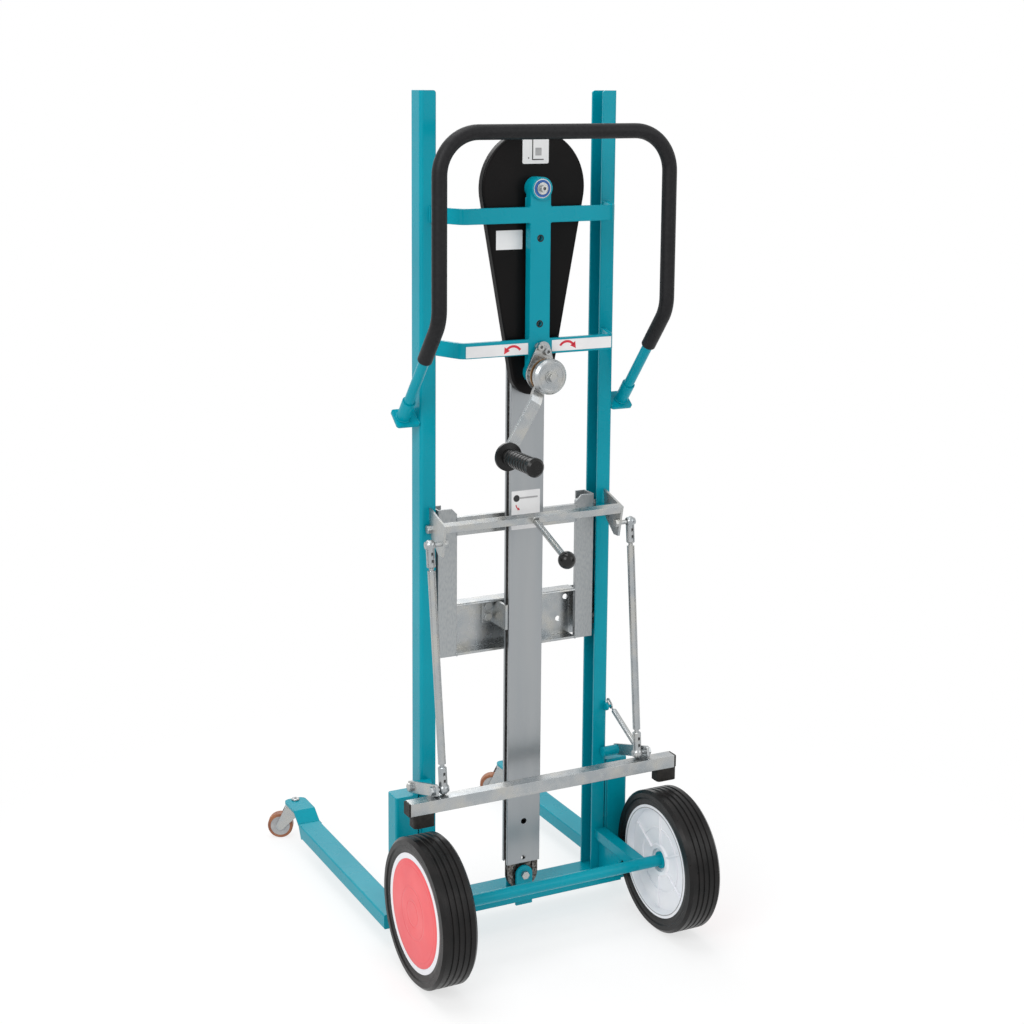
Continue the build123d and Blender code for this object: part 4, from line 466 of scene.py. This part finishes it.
def close_mesh(obj, name, material, body, smooth):
    """Back to object mode: normals, place in the mesh, name, finish and body."""
    bpy.ops.mesh.select_all(action="SELECT")
    bpy.ops.mesh.normals_make_consistent(inside=False)
    bpy.ops.object.mode_set(mode="OBJECT")
    bpy.ops.object.transform_apply(location=True, rotation=True, scale=True)
    bpy.ops.object.shade_smooth_by_angle(angle=math.radians(smooth))
    obj.name = name
    obj.data.name = name
    obj.data.materials.append(material)
    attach(obj, body)
    made.append(obj)


def mirrored(point, sign):
    """A point given for the right side, on the side that the sign names."""
    return Vector((sign * point[0], point[1], point[2]))


def node_centre(node):
    """Middle of a CAD node's box."""
    low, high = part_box(node)
    return (low + high) / 2


def repeat_along(obj, step, count):
    """Repeat an object along a step in its own axes, with the array applied into the mesh."""
    row = obj.modifiers.new("row", "ARRAY")
    row.use_relative_offset = False
    row.use_constant_offset = True
    row.constant_offset_displace = step
    row.count = count
    bpy.ops.object.modifier_apply(modifier=row.name)


def screw(name, place, axis, radius, height, material, body, sides=24, recess_share=0.45):
    """Screw head: a disc raised along its axis, with a rounded rim and a sunk drive."""
    bpy.ops.mesh.primitive_circle_add(vertices=sides, radius=radius, fill_type="NGON", location=place,
                                      rotation=AXIS_TURN[axis])
    head = bpy.context.object
    open_mesh(head)
    raise_by(AXIS_STEP[axis] * height * SIDE_SHARE)
    raise_by(AXIS_STEP[axis] * height * (1 - SIDE_SHARE))
    bpy.ops.transform.resize(value=(RIM_SHARE, RIM_SHARE, RIM_SHARE))
    if recess_share:
        bpy.ops.mesh.inset(thickness=radius * (RIM_SHARE - recess_share))
        raise_by(-AXIS_STEP[axis] * height * SUNK_SHARE)
    close_mesh(head, name, material, body, SHARP_ANGLE)


def flat_ring(name, place, axis, inner, outer, thick, material, body):
    """Flat ring: a circle drawn inwards and then raised along the axis."""
    bpy.ops.mesh.primitive_circle_add(vertices=RING_SIDES, radius=outer, location=place,
                                      rotation=AXIS_TURN[axis])
    ring = bpy.context.object
    open_mesh(ring)
    bpy.ops.mesh.extrude_region_move()
    bpy.ops.transform.resize(value=(inner / outer, inner / outer, inner / outer))
    bpy.ops.mesh.select_all(action="SELECT")
    raise_by(AXIS_STEP[axis] * thick)
    close_mesh(ring, name, material, body, ROUND_ANGLE)


def weld_line(name, start, end, radius, body, material):
    """Weld bead: one slightly flattened drop, repeated along a line so that the drops overlap."""
    start, end = Vector(start), Vector(end)
    count = max(2, round((end - start).length / (radius * DROP_STEP_SHARE)))
    bpy.ops.mesh.primitive_ico_sphere_add(subdivisions=2, radius=radius, location=start)
    bead = bpy.context.object
    open_mesh(bead)
    bpy.ops.transform.resize(value=(1.0, DROP_FLAT_SHARE, 1.0))
    for _ in range(count):
        bpy.ops.mesh.duplicate_move(TRANSFORM_OT_translate={"value": (end - start) / count})
    close_mesh(bead, name, material, body, BEAD_ANGLE)


def weld_ring(name, centre, axis, ring_radius, radius, body, material):
    """Weld bead around a tube: one drop spun in copies about the tube's axis."""
    axis = Vector(axis).normalized()
    side = axis.orthogonal().normalized()
    count = round(2 * math.pi * ring_radius / (radius * RING_STEP_SHARE))
    bpy.ops.mesh.primitive_ico_sphere_add(subdivisions=2, radius=radius,
                                          location=Vector(centre) + side * ring_radius)
    bead = bpy.context.object
    open_mesh(bead)
    bpy.ops.transform.resize(value=(RING_DROP_SHARE, RING_DROP_SHARE, RING_DROP_SHARE))
    bpy.ops.mesh.spin(dupli=True, steps=count - 1, angle=2 * math.pi * (count - 1) / count, center=centre,
                      axis=axis)
    close_mesh(bead, name, material, body, BEAD_ANGLE)


def plate(name, edges, rear, thick, corner, material, body):
    """Sticker or small plate that faces the rear, with rounded corners. Edges: left, right, low, high."""
    left, right_edge, low, high = edges
    bpy.ops.mesh.primitive_plane_add(size=1, location=((left + right_edge) / 2, rear, (low + high) / 2),
                                     rotation=AXIS_TURN["-Y"])
    sheet = bpy.context.object
    open_mesh(sheet)
    bpy.ops.transform.resize(value=(right_edge - left, 1, high - low))
    bpy.ops.mesh.bevel(offset=corner, segments=5, affect="VERTICES")
    raise_by((0, -thick, 0))
    close_mesh(sheet, name, material, body, SHARP_ANGLE)


print("helpers ready")

# %% [markdown]
# ## Stickers
# Two white strips beside the crank carry only a bent arrow: one way lowers the load, the other lifts it.
# The column has a picture of the brake lever, the chain case a plain picture of the trolley.

# %% A bent arrow
STICKER = 0.0003
PRINT = 0.0001
HEAD_SHARE = 1.7


def bent_arrow(name, centre_x, centre_z, radius, width, middle, half_turn, head_side, rear, body):
    """Arc printed on a strip, spun about its centre, with a head at one end. Angles run from the top."""
    centre = (centre_x, rear, centre_z)
    bpy.ops.mesh.primitive_plane_add(size=1, location=(centre_x, rear - PRINT / 2, centre_z + radius))
    arrow = bpy.context.object
    open_mesh(arrow)
    bpy.ops.transform.resize(value=(width, PRINT, 1))
    bpy.ops.transform.rotate(value=math.pi / 2, orient_axis="Y",
                             center_override=(centre_x, rear - PRINT / 2, centre_z + radius))
    bpy.ops.transform.rotate(value=-middle - head_side * half_turn, orient_axis="Y", center_override=centre)
    bpy.ops.mesh.spin(steps=24, angle=2 * head_side * half_turn, center=centre, axis=(0, 1, 0))
    tip = middle + head_side * half_turn
    bpy.ops.mesh.primitive_circle_add(vertices=3, radius=width * HEAD_SHARE, fill_type="NGON",
                                      location=(centre_x + math.sin(tip) * radius, rear,
                                                centre_z + math.cos(tip) * radius),
                                      rotation=(math.pi / 2, tip + head_side * math.pi / 2, 0))
    raise_by((0, -PRINT, 0))
    close_mesh(arrow, name, print_red, body, SHARP_ANGLE)


print("arrow helper ready")

# %% [markdown]
# The strips are glued to the rear of the bearing beam. Each is a thin plate with an arrow printed on it.

# %% Arrow strips beside the crank
beam_face = -0.092
print_face = beam_face - STICKER
STRIP_HEIGHT = 0.019
STRIP_CORNER = 0.0008
STRIPS = {"strip_left": (-0.1367, -0.0216, 1.041), "strip_right": (0.0238, 0.1387, 1.043)}
ARROWS = {"arrow_lower": (-0.0495, 1.0400, -1), "arrow_raise": (0.0525, 1.0425, 1)}
ARC = 0.0160
STROKE = 0.0041
ARC_HALF = math.radians(55)
for strip_name, (left, right_edge, low) in STRIPS.items():
    plate(strip_name, (left, right_edge, low, low + STRIP_HEIGHT), beam_face, STICKER, STRIP_CORNER,
          sticker_white, "frame")
for arrow_name, (x, z, head_side) in ARROWS.items():
    bent_arrow(arrow_name, x, z, ARC, STROKE, 0, ARC_HALF, head_side, print_face, "frame")
print("strips and arrows:", len(made))

# %% [markdown]
# The picture of the brake lever is a ball on a grey rod, with an arrow that shows the way to press it.

# %% Lever picture on the column
column_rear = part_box("column_rear_channel")[0].y
print_face = column_rear - STICKER
LEVER_SIGN = (-0.0296, 0.0255, 0.730, 0.798)
LEVER_SIGN_CORNER = 0.0015
DRAWN_ROD = (-0.015, 0.021, 0.7836, 0.7866)
DRAWN_BALL = (-0.020, print_face, 0.7850)
BALL_RADIUS = 0.0060
DRAWN_ROD_CORNER = 0.0008
PRESS_X, PRESS_Z = -0.0110, 0.7745
PRESS_ARC, PRESS_STROKE = 0.0100, 0.0019
PRESS_MIDDLE, PRESS_HALF = math.radians(-122), math.radians(28)
plate("lever_sign", LEVER_SIGN, column_rear, STICKER, LEVER_SIGN_CORNER, sticker_white, "frame")
screw("lever_sign_ball", DRAWN_BALL, "-Y", BALL_RADIUS, PRINT, print_black, "frame", sides=32,
      recess_share=0)
plate("lever_sign_rod", DRAWN_ROD, print_face, PRINT, DRAWN_ROD_CORNER, print_grey, "frame")
bent_arrow("lever_sign_arrow", PRESS_X, PRESS_Z, PRESS_ARC, PRESS_STROKE, PRESS_MIDDLE, PRESS_HALF, -1,
           print_face, "frame")
print("with the lever picture:", len(made))

# %% [markdown]
# The sign on the case shows a load on a mast and fork, drawn with four flat shapes. The plate below it is
# left bare.

# %% Trolley picture and bare plate on the chain case
case_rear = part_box("chain_case")[0].y
print_face = case_rear - STICKER
CASE_SIGN = (-0.023, 0.026, 1.356, 1.3975)
CASE_SIGN_CORNER = 0.003
BARE_PLATE = (-0.071, -0.022, 1.215, 1.247)
BARE_PLATE_CORNER = 0.001
DRAWN_WHEEL = (-0.0118, print_face, 1.3655)
DRAWN_WHEEL_RADIUS = 0.0013
CASE_PICTURE = {"case_sign_mast": ((-0.0053, -0.0033, 1.3625, 1.3965), 0.0003, print_black),
                "case_sign_fork": ((-0.0053, 0.0165, 1.3620, 1.3638), 0.0003, print_black),
                "case_sign_load": ((0.0008, 0.0124, 1.3695, 1.3822), 0.0004, print_grey)}
plate("case_sign", CASE_SIGN, case_rear, STICKER, CASE_SIGN_CORNER, sticker_white, "frame")
for shape_name, (edges, corner, ink) in CASE_PICTURE.items():
    plate(shape_name, edges, print_face, PRINT, corner, ink, "frame")
screw("case_sign_wheel", DRAWN_WHEEL, "-Y", DRAWN_WHEEL_RADIUS, PRINT, print_black, "frame", sides=16,
      recess_share=0)
plate("case_small_plate", BARE_PLATE, case_rear, STICKER, BARE_PLATE_CORNER, sticker_white, "frame")
print("stickers:", len(made))

# %% [markdown]
# ## Screws, seals and rings
# The upper bearing shows its silver outer ring, a blue rubber seal and the screw that holds the shaft. Two
# screws sit deep in the holes of the bearing beam, ringed by painted shade. A ring is a circle drawn inwards.

# %% Bearing seal, screws and the painted shade round the beam holes
SEAL_INNER, SEAL_OUTER, SEAL_THICK = 0.0103, 0.0143, 0.0005
HOLE_SHADE_INNER, HOLE_SHADE_OUTER, HOLE_SHADE_THICK = 0.0042, 0.0062, 0.0002
SCREW_RADIUS, SCREW_HEIGHT, SCREW_DEPTH = 0.0034, 0.004, 0.012
BEAM_SCREWS = {"beam_screw_lower": 1.091, "beam_screw_upper": 1.234}
shaft_low, shaft_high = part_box("lift_shaft")
lift_axis_z = (shaft_low.z + shaft_high.z) / 2
bearing_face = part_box("shaft_bearings")[0].y
flat_ring("bearing_seal", (0, bearing_face, lift_axis_z), "-Y", SEAL_INNER, SEAL_OUTER, SEAL_THICK, seal_blue,
          "frame")
for screw_name, screw_z in BEAM_SCREWS.items():
    # A dark ring round each hole is painted shade, not a part of the beam
    flat_ring(screw_name + "_hole_shade", (0, beam_face, screw_z), "-Y", HOLE_SHADE_INNER, HOLE_SHADE_OUTER,
              HOLE_SHADE_THICK, pad_rubber, "frame")
    screw(screw_name, (0, beam_face + SCREW_DEPTH, screw_z), "-Y", SCREW_RADIUS, SCREW_HEIGHT, zinc_plate,
          "frame")
print("with seal and screws:", len(made))

# %% [markdown]
# The nylon hubs have six ribs and a raised ring on the inner side of the web. One rib is modelled and spun in
# copies about the wheel's axis.

# %% Ribs and a raised ring on the inner web of the hubs
RIB_COUNT = 6
RIB_SIZE = (0.0048, 0.0032, 0.0590)
RIB_REACH = 0.0585
RIB_SUNK = 0.0012
RIB_EDGE = 0.0008
WEB_DEPTH = 0.0120
WEB_RING_INNER, WEB_RING_OUTER, WEB_RING_THICK = 0.0560, 0.0590, 0.0016
TRIM_INNER, TRIM_OUTER, TRIM_THICK, TRIM_SUNK = 0.0935, 0.0950, 0.0003, 0.0002
for side, sign in SIDES:
    inward = "-X" if sign > 0 else "X"
    cap_low, cap_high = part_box(f"wheel_cap_{side}")
    wheel = (cap_low + cap_high) / 2
    hub_low, hub_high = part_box(f"wheel_hub_{side}")
    hub_face = hub_low.x if sign > 0 else hub_high.x
    web_face = hub_face + sign * WEB_DEPTH
    flat_ring(f"hub_ring_{side}", (web_face, wheel.y, wheel.z), inward, WEB_RING_INNER, WEB_RING_OUTER,
              WEB_RING_THICK, white_nylon, f"wheel_{side}")
    bpy.ops.mesh.primitive_cube_add(size=1, location=(web_face - sign * RIB_SUNK, wheel.y, wheel.z + RIB_REACH))
    rib = bpy.context.object
    open_mesh(rib)
    bpy.ops.transform.resize(value=RIB_SIZE)
    bpy.ops.mesh.bevel(offset=RIB_EDGE, segments=2, affect="EDGES")
    bpy.ops.mesh.select_all(action="SELECT")
    bpy.ops.mesh.spin(dupli=True, steps=RIB_COUNT - 1, angle=2 * math.pi * (RIB_COUNT - 1) / RIB_COUNT,
                      center=(web_face, wheel.y, wheel.z), axis=(1, 0, 0))
    close_mesh(rib, f"hub_ribs_{side}", white_nylon, f"wheel_{side}", ROUND_ANGLE)
    flat_ring(f"valve_ring_{side}", (hub_face - sign * TRIM_SUNK, wheel.y, wheel.z), inward, TRIM_INNER,
              TRIM_OUTER, TRIM_THICK, print_grey, f"wheel_{side}")
print("rings and ribs:", len(made))

# %% [markdown]
# ## Weld beads
# The frame is welded: a row of overlapping drops runs wherever two tubes or bars meet. A bead could be one
# rope with a wave in it, but drops show how it was laid, one puddle over the last.

# %% Welds of the cross frame
BEAD = 0.0016
BASE_BEAD = BEAD * 0.6
TOP_BAR_BEAD = BEAD * 0.7
THIN_BEAD = BEAD * 0.8
BEAD_OUT = 0.0008
BAR_HEIGHTS = {"upper": 1.273, "lower": 1.0525}
BAR_HALF = 0.0125
BAR_CORNER = 0.013
BAR_WELDS = {"weld_bar": 0.1695, "weld_bar_in": 0.1606}
BEAM_SIDE = 0.0192
BEAM_WELD_DEPTH = 0.0075
TUBE_WELD = ((-0.019, -0.0757, 1.300), (-0.019, -0.0757, 1.276))
mast_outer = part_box("mast_right")[1].x
mast_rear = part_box("mast_right")[0].y
MAST_WELD = mast_rear - BEAD_OUT
for side, sign in SIDES:
    for bar_name, bar_z in BAR_HEIGHTS.items():
        for weld_name, x in BAR_WELDS.items():
            weld_line(f"{weld_name}_{bar_name}_{side}", (sign * x, MAST_WELD, bar_z - BAR_HALF),
                      (sign * x, MAST_WELD, bar_z + BAR_HALF), BEAD, "frame", teal_paint)
        for edge_name, z in (("top", bar_z + BAR_CORNER), ("foot", bar_z - BAR_CORNER)):
            weld_line(f"weld_beam_{bar_name}_{edge_name}_{side}", (sign * BEAM_SIDE, beam_face + BEAD_OUT, z),
                      (sign * BEAM_SIDE, beam_face + BEAM_WELD_DEPTH, z), BEAD, "frame", teal_paint)
weld_line("weld_tube_upper_left", *TUBE_WELD, BEAD, "frame", teal_paint)
print("with welds of the cross frame:", len(made))

# %% [markdown]
# The welds of one side are given once, as start, end and bead radius, and mirrored to the other. The handle
# socket is a tube, so a ring of drops goes round its foot.

# %% Welds of stays, posts, base and handle sockets
POST_GAP = 0.001
HANDLE_DIR = (0, -0.144, 0.178)
SOCKET_FOOT = (0.212, -0.006, 0.934)
SOCKET_RADIUS = 0.0118
post_x = mast_outer + POST_GAP
tube_dir = Vector(HANDLE_DIR).normalized()
FRAME_WELDS = {"weld_stay": ((0.187, MAST_WELD, 0.120), (0.187, MAST_WELD, 0.136), BEAD),
               "weld_stay_in": ((0.165, MAST_WELD, 0.120), (0.165, MAST_WELD, 0.136), BEAD),
               "weld_post": ((post_x, -0.0185, 0.075), (post_x, -0.0185, 0.262), BEAD),
               "weld_base": ((0.150, -0.0605, 0.0590), (0.197, -0.0605, 0.0590), BASE_BEAD),
               "weld_socket_plate": ((post_x, -0.0175, 0.924), (post_x, 0.0060, 0.9415), BEAD)}
for side, sign in SIDES:
    for weld_name, (start, end, radius) in FRAME_WELDS.items():
        weld_line(f"{weld_name}_{side}", mirrored(start, sign), mirrored(end, sign), radius, "frame",
                  teal_paint)
    weld_ring(f"weld_socket_{side}", mirrored(SOCKET_FOOT, sign) + tube_dir * BEAD_OUT, tube_dir, SOCKET_RADIUS,
              BEAD, "frame", teal_paint)
print("with welds of the frame:", len(made))

# %% [markdown]
# Brake and carriage were welded before they were plated, so their beads have the zinc of the steel, and each
# rides on its own moving body.

# %% Welds of brake and carriage
ROD_ROOT = (0, -0.0866, 0.7531)
ROD_DIR = (0, -0.937, -0.349)
ROD_RADIUS = 0.0058
MOVING_WELDS = {
    "weld_arm": ((0.2030, -0.1175, 0.3070), (0.2030, -0.1375, 0.3070), BEAD, "brake_bar"),
    "weld_lever": ((0.1680, -0.0860, 0.7555), (0.1680, -0.0765, 0.7585), THIN_BEAD, "brake_lever"),
    "weld_channel": ((0.1172, -0.0195, 0.5085), (0.1172, -0.0195, 0.5120), BEAD, "carriage"),
    "weld_top_bar": ((0.1172, -0.0195, 0.7230), (0.1172, -0.0195, 0.7530), TOP_BAR_BEAD, "carriage"),
}
for side, sign in SIDES:
    for weld_name, (start, end, radius, body) in MOVING_WELDS.items():
        weld_line(f"{weld_name}_{side}", mirrored(start, sign), mirrored(end, sign), radius, body, zinc_plate)
weld_ring("weld_rod_root", ROD_ROOT, ROD_DIR, ROD_RADIUS, THIN_BEAD, "brake_lever", zinc_plate)
print("with welds:", len(made))

# %% [markdown]
# ## Chain rollers and spring coils
# The lift chain shows through the slots beside the column, a roller at every pitch. One roller is made
# and an array repeats it along the strand.

# %% Chain rollers in the column slots
PITCH = 0.0127
ROLLER_RADIUS = 0.00425
ROLLER_WIDTH = 0.0108
PLATE_HALF = 0.0052
STRAND_START = 0.040
chain_low, chain_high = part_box("lift_chain")
strand_x = chain_high.x - PLATE_HALF
roller_y = (chain_low.y + chain_high.y) / 2
roller_count = int((chain_high.z - chain_low.z - 2 * STRAND_START) / PITCH)
for side, sign in SIDES:
    bpy.ops.mesh.primitive_circle_add(vertices=12, radius=ROLLER_RADIUS, fill_type="NGON",
                                      location=(sign * strand_x, roller_y + ROLLER_WIDTH / 2,
                                                chain_low.z + STRAND_START), rotation=AXIS_TURN["-Y"])
    roller = bpy.context.object
    open_mesh(roller)
    raise_by((0, -ROLLER_WIDTH, 0))
    bpy.ops.mesh.select_all(action="SELECT")
    bpy.ops.mesh.normals_make_consistent(inside=False)
    bpy.ops.object.mode_set(mode="OBJECT")
    # The roller is turned to lie along Y, so the strand runs along its own Y axis
    repeat_along(roller, (0, PITCH, 0), roller_count)
    open_mesh(roller)
    close_mesh(roller, f"chain_rollers_{side}", oiled_chain, "frame", ROUND_ANGLE)
print("rollers in a strand:", roller_count)

# %% [markdown]
# The return spring is wound close, so its turns touch. A true helix would need a long sweep. One ring with a
# fuller middle, repeated by an array along the spring, looks the same.

# %% Turns of the return spring
HOOK = Vector((0.190, -0.027, 0.3725))
ANCHOR = Vector((0.199, -0.107, 0.318))
WIRE = 0.0012
HOOK_LENGTH = 0.0110
COIL_RADIUS = 0.0046
COIL_FLARE = 1.09
COIL_CLOSE = 0.917
spring_dir = (ANCHOR - HOOK).normalized()
turn_count = int(((ANCHOR - HOOK).length - 2 * HOOK_LENGTH) / (WIRE * 2))
bpy.ops.mesh.primitive_circle_add(vertices=20, radius=COIL_RADIUS, location=HOOK + spring_dir * HOOK_LENGTH,
                                  rotation=spring_dir.to_track_quat("Z", "Y").to_euler())
coil = bpy.context.object
open_mesh(coil)
raise_by(spring_dir * WIRE * 0.5)
bpy.ops.transform.resize(value=(COIL_FLARE, COIL_FLARE, COIL_FLARE))
raise_by(spring_dir * WIRE)
raise_by(spring_dir * WIRE * 0.5)
bpy.ops.transform.resize(value=(COIL_CLOSE, COIL_CLOSE, COIL_CLOSE))
bpy.ops.mesh.select_all(action="SELECT")
bpy.ops.mesh.normals_make_consistent(inside=False)
bpy.ops.object.mode_set(mode="OBJECT")
repeat_along(coil, (0, 0, WIRE * 2), turn_count)
open_mesh(coil)
close_mesh(coil, "spring_turns", zinc_plate, "spring", ROUND_ANGLE)
print("turns of the spring:", turn_count)

# %% [markdown]
# ## Casters, push rods and carriage
# Each caster wheel is a grey core with a brown tread. The CAD wheel is dressed as the tread, and the core is
# a thin crowned disc on each of its sides.

# %% Caster cores
CASTER_TURN = math.radians(63)
CORE_RADIUS = 0.0195
CORE_FACE = 0.0088
CORE_RIM = 0.0003
CORE_RIM_SHARE = 0.97
CORE_CROWN = 0.0001
axle_dir = Vector((-math.cos(CASTER_TURN), -math.sin(CASTER_TURN), 0))
for side, _ in SIDES:
    wheel_centre = node_centre(f"caster_wheel_{side}")
    for face_name, face in (("near", 1), ("far", -1)):
        out_dir = axle_dir * face
        bpy.ops.mesh.primitive_circle_add(vertices=40, radius=CORE_RADIUS, fill_type="NGON",
                                          location=wheel_centre + out_dir * CORE_FACE,
                                          rotation=out_dir.to_track_quat("Z", "Y").to_euler())
        core = bpy.context.object
        open_mesh(core)
        raise_by(out_dir * CORE_RIM)
        bpy.ops.transform.resize(value=(CORE_RIM_SHARE, CORE_RIM_SHARE, CORE_RIM_SHARE))
        raise_by(out_dir * CORE_CROWN)
        close_mesh(core, f"caster_core_{face_name}_{side}", print_grey, f"caster_wheel_{side}",
                   SHARP_ANGLE)
print("with caster cores:", len(made))

# %% [markdown]
# The bolt on top of each caster has a hexagon socket, whose shade is painted as a dark disc with six sides.
# Nearer to the mast, the caster plate is welded to the leg.

# %% Painted shade in the socket of each caster bolt, and the weld where the caster plate joins the leg
CASTER_BOLT = (0.23625, 0.4760, 0.0800)
SOCKET_HALF = 0.0030
LEG_WELD = ((0.2160, 0.4000, 0.0590), (0.2565, 0.4000, 0.0590))
for side, sign in SIDES:
    # A flat dark hexagon on the bolt head: painted shade in its socket
    screw(f"caster_socket_shade_{side}", mirrored(CASTER_BOLT, sign), "Z", SOCKET_HALF, PRINT, print_black,
          "frame", sides=6, recess_share=0)
    start, end = (mirrored(point, sign) for point in LEG_WELD)
    weld_line(f"weld_leg_{side}", start, end, THIN_BEAD, "frame", teal_paint)
print("with sockets and leg welds:", len(made))

# %% [markdown]
# Each end of a push rod is a housing with two small windows, through which the thread inside can be checked.
# They are thin dark plates of painted shade on the housing, and their places follow the slant of the rod.

# %% Painted shade in the windows of the push rod housings
UPPER_BALL = (0.1936, -0.0748, 0.7274)
LOWER_BALL = (0.1900, -0.1210, 0.3160)
WINDOW_HALF_WIDTH = 0.0019
WINDOW_HALF_HEIGHT = 0.0036
WINDOW_CORNER = 0.0006
WINDOW_PLACES = (0.0145, 0.0265)
HOUSING_FACE = 0.00735
for side, sign in SIDES:
    upper_ball = mirrored(UPPER_BALL, sign)
    lower_ball = mirrored(LOWER_BALL, sign)
    down = (lower_ball - upper_ball).normalized()
    for where, ball, reach in (("upper", upper_ball, 1), ("lower", lower_ball, -1)):
        for step, along in enumerate(WINDOW_PLACES):
            spot = ball + down * reach * along
            edges = (spot.x - WINDOW_HALF_WIDTH, spot.x + WINDOW_HALF_WIDTH, spot.z - WINDOW_HALF_HEIGHT,
                     spot.z + WINDOW_HALF_HEIGHT)
            # Each dark plate is painted shade where a window opens into the housing
            plate(f"rod_window_{where}_{step}_{side}", edges, spot.y - HOUSING_FACE, STICKER, WINDOW_CORNER,
                  print_black, f"push_rod_{side}")
print("with rod windows:", len(made))

# %% [markdown]
# On the real carriage the tool channel reaches under the bent side profiles. The CAD channel stops at their
# edge, so a short web carries it on at each end, let a little into both.

# %% Ends of the tool channel, which reach under the bent side profiles
CHANNEL_SHEET = 0.0040
PROFILE_SHEET = 0.0032
END_OVERLAP = 0.0005
END_EDGE = 0.0004
carriage_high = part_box("carriage_sides")[1]
channel_low, channel_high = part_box("tool_channel")
inner, outer = channel_high.x - END_OVERLAP, carriage_high.x - PROFILE_SHEET
end_y = channel_high.y - CHANNEL_SHEET / 2
end_z = (channel_low.z + channel_high.z) / 2
end_height = channel_high.z - channel_low.z - CHANNEL_SHEET
for side, sign in SIDES:
    bpy.ops.mesh.primitive_cube_add(size=1, location=(sign * (inner + outer) / 2, end_y, end_z))
    web = bpy.context.object
    open_mesh(web)
    bpy.ops.transform.resize(value=(outer - inner, CHANNEL_SHEET, end_height))
    bpy.ops.mesh.bevel(offset=END_EDGE, segments=2, affect="EDGES")
    close_mesh(web, f"channel_end_{side}", zinc_plate, "carriage", SHARP_ANGLE)
print("fine pieces:", len(made))
